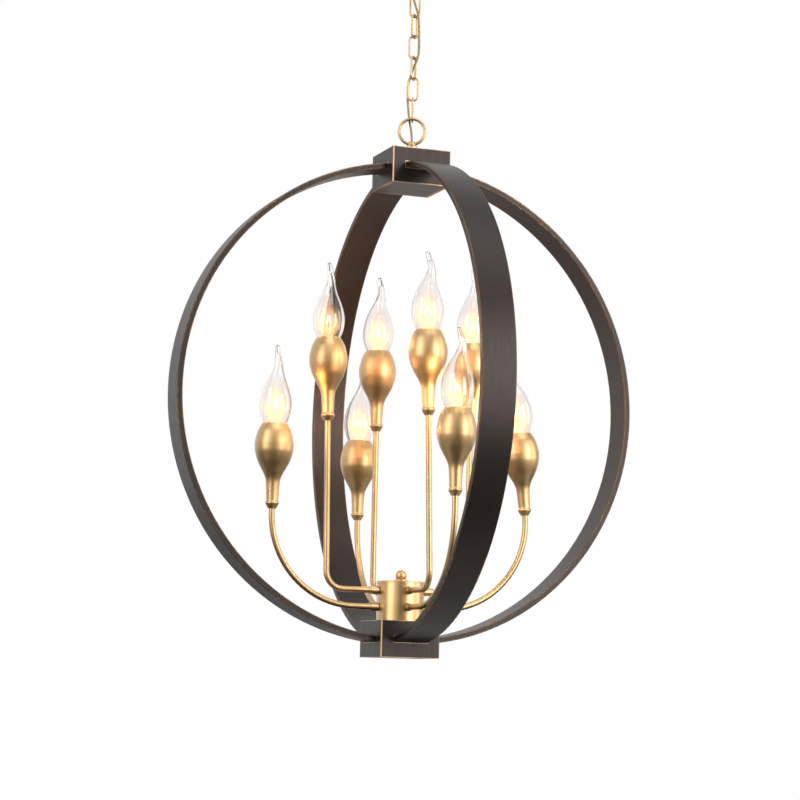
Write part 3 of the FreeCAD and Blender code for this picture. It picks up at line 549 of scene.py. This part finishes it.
def join_loops(mesh: bmesh.types.BMesh, loops: list[list[bmesh.types.BMVert]],
               closed: tuple[bool, bool], material: int) -> None:
    """Adds the smooth faces between rings of points, and flat caps.

    Args:
        mesh: the mesh that holds the points.
        loops: the rings, all with the same number of points.
        closed: whether the first and the last ring get a cap.
        material: number of the faces' material.
    """
    sides = len(loops[0])
    for a, b in zip(loops, loops[1:]):
        for k in range(sides):
            face = mesh.faces.new((a[k], a[(k + 1) % sides], b[(k + 1) % sides], b[k]))
            face.material_index = material
            face.smooth = True
    for cap, ring in ((closed[0], loops[0][::-1]), (closed[1], loops[-1])):
        if cap:
            mesh.faces.new(ring).material_index = material


def add_rings(mesh: bmesh.types.BMesh, rings: list[tuple[float, float, float]], sides: int,
              closed: tuple[bool, bool], material: int = 0) -> None:
    """Adds a turned skin to a mesh.

    Args:
        mesh: the mesh that gets it.
        rings: height, radius and sideways place of each ring.
        sides: points on each ring.
        closed: whether the first and the last ring get a cap.
        material: number of the skin's material.
    """
    angles = [2 * math.pi * k / sides for k in range(sides)]
    loops = []
    for height, radius, shift in rings:
        loops.append([mesh.verts.new(
            Vector((shift + radius * math.cos(a), radius * math.sin(a), height)) * MM)
            for a in angles])
    join_loops(mesh, loops, closed, material)


def add_tube(mesh: bmesh.types.BMesh, path: list[Vector], radius: float, sides: int,
             material: int = 0) -> None:
    """Adds a closed round tube along a path, with rings that don't twist.

    Args:
        mesh: the mesh that gets it.
        path: the points of its middle line, in metres.
        radius: its radius, in metres.
        sides: points on each ring.
        material: number of its material.
    """
    angles = [2 * math.pi * k / sides for k in range(sides)]
    loops = []
    across = Vector((1, 0, 0))
    for i, point in enumerate(path):
        ahead = (path[min(i + 1, len(path) - 1)] - path[max(i - 1, 0)]).normalized()
        across = (across - ahead * across.dot(ahead)).normalized()
        up = ahead.cross(across)
        loops.append([mesh.verts.new(
            point + radius * (across * math.cos(a) + up * math.sin(a))) for a in angles])
    join_loops(mesh, loops, (True, True), material)


def finish_mesh(mesh: bmesh.types.BMesh, name: str) -> bpy.types.Mesh:
    """Turns a mesh in work into mesh data, with its faces looking outwards.

    Args:
        mesh: the mesh in work, which is freed.
        name: the data's name.

    Returns:
        The mesh data.
    """
    bmesh.ops.recalc_face_normals(mesh, faces=mesh.faces)
    data = bpy.data.meshes.new(name)
    mesh.to_mesh(data)
    mesh.free()
    return data


# ---- sub-assemblies ------------------------------------------------------------------------------


@dataclass
class Assembly:
    """A group of pieces that are dressed or built together."""

    frame: dict
    finishes: Finishes

    def dress(self, nodes: list[str], material: bpy.types.Material) -> None:
        """Gives carried-over nodes of the frame their material.

        Args:
            nodes: the nodes' names.
            material: their material.
        """
        for name in nodes:
            data = self.frame["nodes"][name].data
            data.materials.clear()
            data.materials.append(material)
            LOG.info("node %s: %s", name, material.name)


@dataclass
class CeilingFitting(Assembly):
    """Strap, nipple, nuts, dish and loop at the ceiling."""

    def build(self) -> None:
        """Dresses the fitting."""
        self.dress(["canopy_shell", "canopy_ring_nut"], self.finishes.turned_brass)
        self.dress(["canopy_loop"], self.finishes.brass)
        self.dress(["ceiling_strap", "canopy_nipple", "canopy_locknuts", "earth_screw"],
                   self.finishes.steel)


@dataclass
class Suspension(Assembly):
    """Link chain, and the cord that is woven through it."""

    links: int = 7
    link_length: float = 30.3
    link_pitch: float = 25.3
    lowest_foot: float = -251.1  # height of the lowest link's foot
    cord_radius: float = 1.3
    cord_sides: int = 16
    lower_clamp: float = 14.0  # over the block: where the cord is clamped to the orb
    upper_clamp: float = -58.0  # height: where the cord is clamped to the canopy
    spare: float = 1.0  # metres, past both ends of the cord
    # right of the chain, towards the front, height over the top block
    route: tuple[tuple[float, float, float], ...] = (
        (0.0, 0.0, -28.6), (0.0, 0.0, 4.0), (0.0, 0.0, 23.0), (-3.2, -4.3, 39.5),
        (-5.0, -4.7, 53.9), (-6.3, -3.7, 69.0), (-6.1, -4.2, 86.1), (0.1, 0.4, 104.5),
        (6.3, 5.0, 118.7), (5.7, 4.2, 142.9), (4.8, 3.4, 166.1), (-1.0, 4.4, 183.4),
        (-5.1, 4.5, 197.4), (-4.7, 4.4, 213.0), (0.0, 0.0, 233.0), (0.0, 0.0, 252.0),
        (0.0, 0.0, 287.1))

    def centre_line(self) -> list[Vector]:
        """Reads the points of the cord's smooth line, from the block up.

        Returns:
            The points, in metres.
        """
        curve = bpy.data.curves.new("cord_route", "CURVE")
        curve.dimensions = "3D"
        curve.resolution_u = 24
        spline = curve.splines.new("NURBS")
        spline.points.add(len(self.route) - 1)
        right = Vector((math.cos(FACING), math.sin(FACING), 0))
        front = Vector((math.sin(FACING), -math.cos(FACING), 0))
        for point, (u, v, z) in zip(spline.points, self.route):
            place = (right * u + front * v + Vector((0, 0, BLOCK_TOP + z))) * MM
            point.co = (*place, 1.0)
        spline.order_u = 3
        spline.use_endpoint_u = True
        holder = bpy.data.objects.new("cord_route", curve)
        mesh = bpy.data.meshes.new_from_object(holder)
        points = [vertex.co.copy() for vertex in mesh.vertices]
        bpy.data.meshes.remove(mesh)
        bpy.data.objects.remove(holder)
        return points

    def build_cord(self) -> None:
        """Makes the cord, in one piece for each joint that it crosses."""
        line = self.centre_line()
        first = self.lowest_foot + self.link_length / 2
        middles = [(first + i * self.link_pitch) * MM for i in range(self.links)]
        bodies = ["orb"] + [f"link_{i + 1}" for i in range(self.links)] + ["canopy"]
        cuts = [line[0].z - self.spare] + middles + [line[-1].z + self.spare]
        for i in range(self.links + 1):
            inside = [k for k, point in enumerate(line) if cuts[i] <= point.z < cuts[i + 1]]
            path = line[max(inside[0] - 1, 0) : inside[-1] + 1]
            mesh = bmesh.new()
            add_tube(mesh, path, self.cord_radius * MM, self.cord_sides)
            piece = new_piece(f"supply_cord_{bodies[i]}_{bodies[i + 1]}",
                              finish_mesh(mesh, "cord"), [self.finishes.cord], smooth=False)
            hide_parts("supply_cord")
            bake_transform(piece)

    def build(self) -> None:
        """Dresses the chain and makes the cord."""
        self.dress([f"chain_link_{i + 1}" for i in range(self.links)], self.finishes.brass)
        self.build_cord()


@dataclass
class OrbFrame(Assembly):
    """The two crossed hoops, their blocks and what fastens them."""

    def build(self) -> None:
        """Dresses the frame."""
        self.dress(["top_block", "bottom_block"], self.finishes.bronze_box)
        self.dress(["top_block_cover", "bottom_block_cover",
                    "hoop_left", "hoop_right", "hoop_front", "hoop_rear"], self.finishes.bronze)
        self.dress(["top_nipple", "frame_locknuts", "hoop_saddles", "hoop_screws"],
                   self.finishes.steel)
        self.dress(["top_loop"], self.finishes.brass)
        self.dress(["terminal_blocks"], self.finishes.phenolic)
        self.dress(["internal_wiring"], self.finishes.wire)


@dataclass
class Hub(Assembly):
    """Turned hub with the arms' collars and nuts."""

    def build(self) -> None:
        """Dresses the hub."""
        self.dress(["hub_lower_shell", "hub_upper_shell"], self.finishes.hub_brass)
        self.dress(["hub_lid", "hub_finial"], self.finishes.turned_brass)
        self.dress(["arm_collars"], self.finishes.brass)
        self.dress(["hub_tie_rod", "arm_nuts"], self.finishes.steel)


@dataclass(frozen=True)
class LampPlace:
    """Where one lamp stands: the arms were bent and set by hand, so each differs a little."""

    tier: Tier
    side: Side
    reach: float  # from the hub's axis to the arm's upright
    turn: float  # turn about the arm's port
    rim: float  # height of the cup's rim over the hub's foot
    tail: float  # where the bulb's bent tail points
    lean: float = 0.0  # of the arm's upright towards the hub

    def matrix(self) -> Matrix:
        """Works out where the lamp stands.

        Returns:
            The matrix from the lamp's own axes, with their origin at the cup's rim, to the world.
        """
        port, bend = self.tier.value
        hub = Matrix.Translation(Vector((0, 0, HUB_FOOT + port)) * MM)
        azimuth = Matrix.Rotation(math.radians(self.side.value), 4, "Z")
        turn = Matrix.Rotation(math.radians(-self.turn), 4, "X")
        centre = Matrix.Translation(Vector((self.reach - bend, 0, bend)) * MM)
        lean = Matrix.Rotation(math.radians(-self.lean), 4, "Y")
        upright = Matrix.Translation(Vector((bend, 0, self.rim - port - bend)) * MM)
        return hub @ azimuth @ turn @ centre @ lean @ upright

    @property
    def name(self) -> str:
        """The lamp's name as the frame's nodes give it."""
        return f"{self.tier.name}_{self.side.name}".lower()


LAMPS = (
    LampPlace(Tier.INNER, Side.LEFT, 90.8, -3.2, 324.0, -141.0),
    LampPlace(Tier.INNER, Side.REAR, 94.6, 0.2, 324.4, -51.0),
    LampPlace(Tier.INNER, Side.FRONT, 90.9, -1.8, 325.6, 69.0),
    LampPlace(Tier.INNER, Side.RIGHT, 82.0, 0.0, 326.8, -81.0),
    LampPlace(Tier.OUTER, Side.LEFT, 158.9, 1.0, 218.4, 99.0),
    LampPlace(Tier.OUTER, Side.REAR, 153.7, 0.3, 221.4, 200.0),
    LampPlace(Tier.OUTER, Side.FRONT, 161.5, 0.0, 230.5, 60.0),
    LampPlace(Tier.OUTER, Side.RIGHT, 154.1, -0.5, 214.8, 159.0, 6.0),
)


@dataclass
class Lamp:
    """Tulip cup, bulb glass, base, filament and glow of one lamp. Heights are over the rim."""

    place: LampPlace
    finishes: Finishes
    # The cup: height and diameter down its outside, then height and radius round its foot.
    cup_form: tuple[tuple[float, float], ...] = (
        (0.0, 28.9), (-2.0, 31.4), (-9.0, 38.4), (-20.0, 43.8), (-27.0, 44.2), (-33.0, 42.8),
        (-42.0, 37.4), (-49.5, 30.0), (-57.0, 21.8), (-65.0, 16.4), (-79.0, 14.4), (-88.0, 13.6))
    cup_foot: tuple[tuple[float, float], ...] = (
        (-88.4, 7.2), (-89.6, 7.9), (-90.6, 7.85), (-92.6, 6.9), (-94.8, 5.4), (-96.1, 4.8),
        (-96.5, 4.2), (-96.5, 3.45), (-83.0, 3.45))
    cup_roll: tuple[tuple[float, float], ...] = ((0.25, 0.2), (0.4, 0.5), (0.25, 0.8))
    cup_wall: float = 1.0
    cup_floor: float = -82.0
    cup_sides: int = 72
    # The glass: height, diameter and sideways place of its rings.
    glass_form: tuple[tuple[float, float, float], ...] = (
        (-18.0, 9.4, 0.0), (-14.5, 9.4, 0.0), (-11.6, 9.4, 0.0), (-8.8, 11.2, 0.0),
        (-6.0, 16.2, 0.0), (-3.0, 22.0, 0.0), (0.0, 25.8, 0.0), (4.0, 29.6, 0.0),
        (9.0, 33.2, 0.0), (15.0, 35.9, 0.0), (22.0, 37.0, 0.0), (30.0, 35.3, 0.0),
        (37.0, 31.8, 0.0), (44.0, 26.8, 0.1), (50.0, 21.6, 0.6), (56.0, 16.4, 1.8),
        (61.0, 12.8, 3.2), (66.0, 10.4, 4.4), (71.0, 9.0, 4.6), (77.0, 8.0, 3.6),
        (83.0, 6.6, 1.8), (88.0, 4.8, 0.4), (89.6, 3.2, 0.05))
    glass_tip: tuple[tuple[float, float, float], ...] = ((89.95, 1.2, 0.0), (90.0, 0.4, 0.0))
    glass_wall: float = 0.7
    glass_top: float = 81.5  # the tail is solid from here up
    tail_foot: float = 62.0  # the wall thickens from here up
    tail_double: float = 9.0  # the height over which it gains its own thickness
    glass_sides: int = 48
    # The base: height and radius of its plain parts, and of one thread from its root down.
    base_top: tuple[tuple[float, float], ...] = ((-11.2, 4.9), (-11.2, 6.3), (-13.5, 6.3), (-13.7, 6.0))
    base_thread: tuple[tuple[float, float], ...] = ((0.5, 5.95), (0.9, 5.6), (1.35, 5.45), (1.8, 5.9))
    base_cone: tuple[tuple[float, float], ...] = ((-25.0, 5.9), (-28.5, 3.0), (-29.5, 2.2), (-30.7, 2.0))
    base_bore: tuple[float, float] = (-24.0, 4.9)  # its floor and radius
    threads: int = 6
    base_sides: int = 40
    # The support wires: distance from the axis and height.
    support_form: tuple[tuple[float, float], ...] = (
        (1.0, -24.0), (1.0, -8.0), (1.6, 0.0), (3.4, 12.0), (3.8, 18.0))
    support_radius: float = 0.28
    # The hot wire: a coil in an arch between the supports.
    coil_turns: int = 9
    coil_steps: int = 14
    coil_rise: float = 8.0
    coil_radius: float = 0.75
    coil_drift: float = 0.2
    wire_radius: float = 0.22
    # Height and diameter of the shine's skins, from the faint outer one to the hot core.
    glow_forms: tuple[tuple[tuple[float, float], ...], ...] = (
        ((-5.0, 5.0), (-1.0, 13.0), (4.0, 22.0), (11.0, 29.0), (19.0, 31.5), (27.0, 29.0),
         (35.0, 21.0), (43.0, 11.0), (52.0, 2.0)),
        ((-5.0, 3.5), (0.0, 9.0), (5.0, 16.0), (11.0, 22.0), (18.0, 24.5), (25.0, 21.0),
         (32.0, 13.0), (39.0, 6.0), (46.0, 0.8)),
        ((-6.0, 3.0), (0.0, 6.0), (6.0, 9.5), (12.0, 13.0), (18.0, 15.0), (24.0, 13.0),
         (30.0, 8.0), (37.0, 3.5), (43.0, 0.6)))
    glow_sides: int = 32
    light_colour: str = "#ffc48c"
    light_power: float = 0.42  # watts
    light_radius: float = 8.0
    light_height: float = 20.0

    def set_in_place(self, piece: bpy.types.Object, body: str, turn: float = 0.0) -> None:
        """Moves a piece from the lamp's own axes to its place and makes it ride on its body.

        Args:
            piece: the piece.
            body: the body that carries it.
            turn: its turn about the lamp's axis.
        """
        piece.matrix_world = self.place.matrix() @ Matrix.Rotation(math.radians(turn), 4, "Z")
        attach(piece, body)

    def build_cup(self) -> None:
        """Makes the spun cup: thin, hollow, with a rolled mouth and a turned lip at its foot."""
        outer = smooth_run([(z, dia / 2) for z, dia in self.cup_form], 5)
        inner = [(z, r - self.cup_wall) for z, r in outer if z > self.cup_floor]
        mouth = [(z, outer[0][1] - inset) for z, inset in self.cup_roll]
        rings = list(reversed(self.cup_foot)) + list(reversed(outer)) + mouth + inner
        mesh = bmesh.new()
        add_rings(mesh, [(z, r, 0.0) for z, r in rings], self.cup_sides, (False, False))
        piece = new_piece(f"cup_{self.place.name}", finish_mesh(mesh, "cup"),
                          [self.finishes.turned_brass])
        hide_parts(f"{self.place.tier.name.lower()}_cups")
        self.set_in_place(piece, "orb")

    def build_glass(self) -> None:
        """Makes the blown envelope with its inner wall, which thickens to a solid tail."""
        outer = smooth_run([(z, dia / 2, shift) for z, dia, shift in self.glass_form], 4)
        inner = []
        for z, r, shift in outer:
            if z < self.glass_top:
                thicker = 1 + max(0.0, z - self.tail_foot) / self.tail_double
                inner.append((z, r - self.glass_wall * thicker, shift))
        mesh = bmesh.new()
        rings = list(reversed(inner)) + outer + list(self.glass_tip)
        add_rings(mesh, rings, self.glass_sides, (True, True))
        piece = new_piece(f"bulb_envelope_{self.place.name}", finish_mesh(mesh, "envelope"),
                          [self.finishes.glass])
        piece.visible_shadow = False
        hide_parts(f"bulb_glass_{self.place.name}")
        self.set_in_place(piece, f"bulb_{self.place.name}", self.place.tail)

    def build_base(self) -> None:
        """Makes the screw base with its thread and contact."""
        start, pitch = self.base_top[-1][0], self.base_thread[-1][0]
        thread = [(start - pitch * k - down, r)
                  for k in range(self.threads) for down, r in self.base_thread]
        rings = [self.base_bore, *self.base_top, *thread, *self.base_cone]
        mesh = bmesh.new()
        add_rings(mesh, [(z, r, 0.0) for z, r in reversed(rings)], self.base_sides, (True, True))
        piece = new_piece(f"bulb_screw_{self.place.name}", finish_mesh(mesh, "screw"),
                          [self.finishes.base])
        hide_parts(f"bulb_base_{self.place.name}")
        self.set_in_place(piece, f"bulb_{self.place.name}")

    def coil(self) -> list[Vector]:
        """Works out the hot wire's line.

        Returns:
            The points, in metres.
        """
        half, foot = self.support_form[-1]
        points = []
        for k in range(self.coil_turns * self.coil_steps + 1):
            along = k / (self.coil_turns * self.coil_steps)
            angle = 2 * math.pi * self.coil_turns * along
            points.append(Vector((
                half * (2 * along - 1) + self.coil_drift * math.cos(angle),
                self.coil_radius * math.cos(angle),
                foot + self.coil_rise * math.sin(math.pi * along)
                + self.coil_radius * math.sin(angle))) * MM)
        return points

    def build_filament(self) -> None:
        """Makes the support wires and the coiled hot wire between them."""
        mesh = bmesh.new()
        for side in (-1, 1):
            path = [Vector((side * x, 0, z)) * MM for x, z in self.support_form]
            add_tube(mesh, path, self.support_radius * MM, 8)
        add_tube(mesh, self.coil(), self.wire_radius * MM, 6, 1)
        piece = new_piece(f"bulb_filament_{self.place.name}", finish_mesh(mesh, "filament"),
                          [self.finishes.steel, self.finishes.filament], smooth=False)
        self.set_in_place(piece, f"bulb_{self.place.name}", self.place.tail)

    def build_glow(self) -> None:
        """Makes the shine round the filament: soft nested clouds, brightest in the middle."""
        mesh = bmesh.new()
        for layer, form in enumerate(self.glow_forms):
            rings = [(z, dia / 2, 0.0) for z, dia in smooth_run(list(form), 4)]
            add_rings(mesh, rings, self.glow_sides, (True, True), layer)
        piece = new_piece(f"bulb_glow_{self.place.name}", finish_mesh(mesh, "glow"),
                          list(self.finishes.shine), smooth=False)
        piece.visible_shadow = False
        piece.visible_diffuse = False
        self.set_in_place(piece, f"bulb_{self.place.name}")

    def build_light(self) -> None:
        """Sets a small warm lamp at the filament, which moves with the bulb."""
        light = bpy.data.lights.new(f"filament_light_{self.place.name}", "POINT")
        light.color = colour(self.light_colour)[:3]
        light.energy = self.light_power
        light.shadow_soft_size = self.light_radius * MM
        lamp = new_lamp(light.name, light)
        lamp.visible_transmission = False
        height = Matrix.Translation(Vector((0, 0, self.light_height)) * MM)
        lamp.matrix_world = self.place.matrix() @ height
        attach(lamp, f"bulb_{self.place.name}")

    def build(self) -> None:
        """Makes the whole lamp."""
        self.build_cup()
        self.build_glass()
        self.build_base()
        self.build_filament()
        self.build_glow()
        self.build_light()


@dataclass
class LampRing(Assembly):
    """All eight lamps with their arms and holders."""

    def build(self) -> None:
        """Dresses arms and holders, and builds the lamps."""
        self.dress(["inner_arms", "outer_arms"], self.finishes.brass)
        self.dress(["lampholders"], self.finishes.phenolic)
        for place in LAMPS:
            Lamp(place, self.finishes).build()


# ---- studio --------------------------------------------------------------------------------------


@dataclass(frozen=True)
class Softbox:
    """One rectangular soft light that looks at the middle of the orb."""

    name: str
    azimuth: float  # round the upright axis, from +X
    height: float  # metres over the middle of the orb
    away: float  # metres from the orb's axis
    size: tuple[float, float]  # width and height in metres
    power: float  # watts

    def build(self) -> None:
        """Sets the light."""
        light = bpy.data.lights.new(self.name, "AREA")
        light.shape = "RECTANGLE"
        light.size, light.size_y = self.size
        light.energy = self.power
        lamp = new_lamp(self.name, light)
        middle = Vector((0, 0, -CEILING_TO_ORB * MM))
        a = math.radians(self.azimuth)
        outward = Vector((math.cos(a), math.sin(a), 0))
        lamp.location = middle + outward * self.away + Vector((0, 0, self.height))
        lamp.rotation_mode = "QUATERNION"
        lamp.rotation_quaternion = (middle - lamp.location).to_track_quat("-Z", "Y")


@dataclass(frozen=True)
class DarkCard:
    """One dark card near the camera, which darkens the middle of turned pieces."""

    name: str
    away: float  # metres from the orb's axis, towards the camera
    height: float  # metres over the ceiling
    size: tuple[float, float]  # width and height in metres
    tilt: float  # from lying flat

    def build(self, material: bpy.types.Material, heading: float) -> None:
        """Sets the card where only reflections see it.

        Args:
            material: its material.
            heading: the camera's heading, in radians.
        """
        mesh = bmesh.new()
        bmesh.ops.create_grid(mesh, x_segments=1, y_segments=1, size=0.5)
        card = new_piece(self.name, finish_mesh(mesh, self.name), [material])
        card.scale = (*self.size, 1.0)
        front = Vector((-math.sin(heading), -math.cos(heading), 0))
        card.location = front * self.away + Vector((0, 0, self.height))
        card.rotation_euler = (math.radians(self.tilt), 0, -heading)
        card.visible_camera = False
        card.visible_diffuse = False
        card.visible_shadow = False


@dataclass(frozen=True)
class Matt:
    """A matt grey whose tone varies a little: dyed felt, or a painted floor."""

    name: str
    tones: tuple[float, float]
    patch: float  # metres, size of the patches in which the tone varies
    roughness: float

    def make(self) -> bpy.types.Material:
        """Builds the material.

        Returns:
            The matt grey.
        """
        material, tree = new_tree(self.name)
        place = add(tree, "ShaderNodeTexCoord")
        grain = add(tree, "ShaderNodeTexNoise", None, {
            "Vector": place.outputs["Object"], "Scale": 1 / self.patch})
        tone = add(tree, "ShaderNodeMapRange", None, {
            "Value": grain.outputs["Fac"], "To Min": self.tones[0], "To Max": self.tones[1]})
        shader = add(tree, "ShaderNodeBsdfPrincipled", None, {
            "Base Color": tone.outputs["Result"], "Roughness": self.roughness})
        add(tree, "ShaderNodeOutputMaterial", None, {"Surface": shader.outputs["BSDF"]})
        return material


@dataclass
class Studio:
    """Camera, lamps, world, cards and floor."""

    yaw: float = 20.68  # from the world's +Y to the camera's view, as a compass turns
    distance: float = 2762.0
    drop: float = 328.4  # the camera is this far under the middle of the hoops
    pan: float = -0.13
    tilt: float = 6.85
    roll: float = 1.42
    focal: float = 2395.0  # in dots of a picture that is picture_width wide
    picture_width: float = 800.0
    sensor_width: float = 36.0
    soft_light: str = "#e9e6e3"
    soft_strength: float = 0.4
    floor_depth: float = 2500.0  # under the ceiling
    floor_half: float = 10.0  # metres
    softboxes: tuple[Softbox, ...] = (
        Softbox("softbox_left", 200.0, 0.7, 2.6, (1.3, 2.2), 34.0),
        Softbox("softbox_front", 298.0, 0.4, 2.6, (1.0, 2.0), 46.0),
        Softbox("softbox_right", -20.0, 0.5, 2.8, (0.8, 2.2), 18.0),
        Softbox("softbox_top", -80.0, 2.6, 1.2, (2.0, 1.4), 25.0))
    cards: tuple[DarkCard, ...] = (
        DarkCard("card_behind", 3.2, -0.5837, (1.1, 3.4), 90.0),
        DarkCard("card_below", 1.9, -2.45, (3.4, 2.4), 0.0))

    def build_camera(self) -> None:
        """Sets the camera where the photograph was taken from."""
        a = math.radians(self.yaw)
        ahead = Vector((math.sin(a), math.cos(a), 0))
        right = Vector((math.cos(a), -math.sin(a), 0))
        up = Vector((0, 0, 1))
        place = -ahead * self.distance + Vector((0, 0, -CEILING_TO_ORB - self.drop))
        pan, tilt, roll = (math.radians(x) for x in (self.pan, self.tilt, self.roll))
        ahead, right = (ahead * math.cos(pan) + right * math.sin(pan),
                        right * math.cos(pan) - ahead * math.sin(pan))
        ahead, up = (ahead * math.cos(tilt) + up * math.sin(tilt),
                     up * math.cos(tilt) - ahead * math.sin(tilt))
        right, up = (right * math.cos(roll) + up * math.sin(roll),
                     up * math.cos(roll) - right * math.sin(roll))
        data = bpy.data.cameras.new("camera")
        data.sensor_width = self.sensor_width
        data.lens = self.focal / self.picture_width * self.sensor_width
        camera = bpy.data.objects.new("camera", data)
        bpy.context.scene.collection.objects.link(camera)
        basis = Matrix((right, up, -ahead)).transposed().to_4x4()
        camera.matrix_world = Matrix.Translation(place * MM) @ basis
        bpy.context.scene.camera = camera

    def build_world(self) -> None:
        """Lights the object plainly, and shows white behind it, in metal and through glass."""
        world = bpy.data.worlds.new("studio")
        world.use_nodes = True
        tree = world.node_tree
        tree.nodes.clear()
        path = add(tree, "ShaderNodeLightPath")
        through = add(tree, "ShaderNodeMath", {"operation": "MAXIMUM"}, {
            0: path.outputs["Is Camera Ray"], 1: path.outputs["Is Transmission Ray"]})
        clear = add(tree, "ShaderNodeMath", {"operation": "MAXIMUM"}, {
            0: through.outputs["Value"], 1: path.outputs["Is Glossy Ray"]})
        soft = add(tree, "ShaderNodeBackground", None, {
            "Color": colour(self.soft_light), "Strength": self.soft_strength})
        white = add(tree, "ShaderNodeBackground", None, {
            "Color": colour("#ffffff"), "Strength": 1.0})
        mix = add(tree, "ShaderNodeMixShader", None, {
            0: clear.outputs["Value"],
            1: soft.outputs["Background"], 2: white.outputs["Background"]})
        add(tree, "ShaderNodeOutputWorld", None, {"Surface": mix.outputs["Shader"]})
        bpy.context.scene.world = world

    def build_floor(self) -> None:
        """Lays a wide pale floor far below the lamp."""
        mesh = bmesh.new()
        bmesh.ops.create_grid(mesh, x_segments=8, y_segments=8, size=self.floor_half)
        material = Matt("pale_floor", (0.9, 0.93), 0.3333, 0.8).make()
        floor = new_piece("floor", finish_mesh(mesh, "floor"), [material])
        floor.location.z = -self.floor_depth * MM

    def build(self) -> None:
        """Sets up the whole studio."""
        bpy.context.scene.view_settings.view_transform = "Standard"
        self.build_camera()
        self.build_world()
        for softbox in self.softboxes:
            softbox.build()
        felt = Matt("dark_card", (0.02, 0.05), 0.025, 0.9).make()
        for card in self.cards:
            card.build(felt, math.radians(self.yaw))
        self.build_floor()


def main() -> None:
    """Builds every sub-assembly in order, then the studio."""
    logging.basicConfig(level=logging.INFO, format="%(name)s: %(message)s")
    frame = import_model()
    finishes = Finishes.make()
    for assembly in (CeilingFitting, Suspension, OrbFrame, Hub, LampRing):
        assembly(frame, finishes).build()
    Studio().build()


if __name__ == "__main__":
    main()
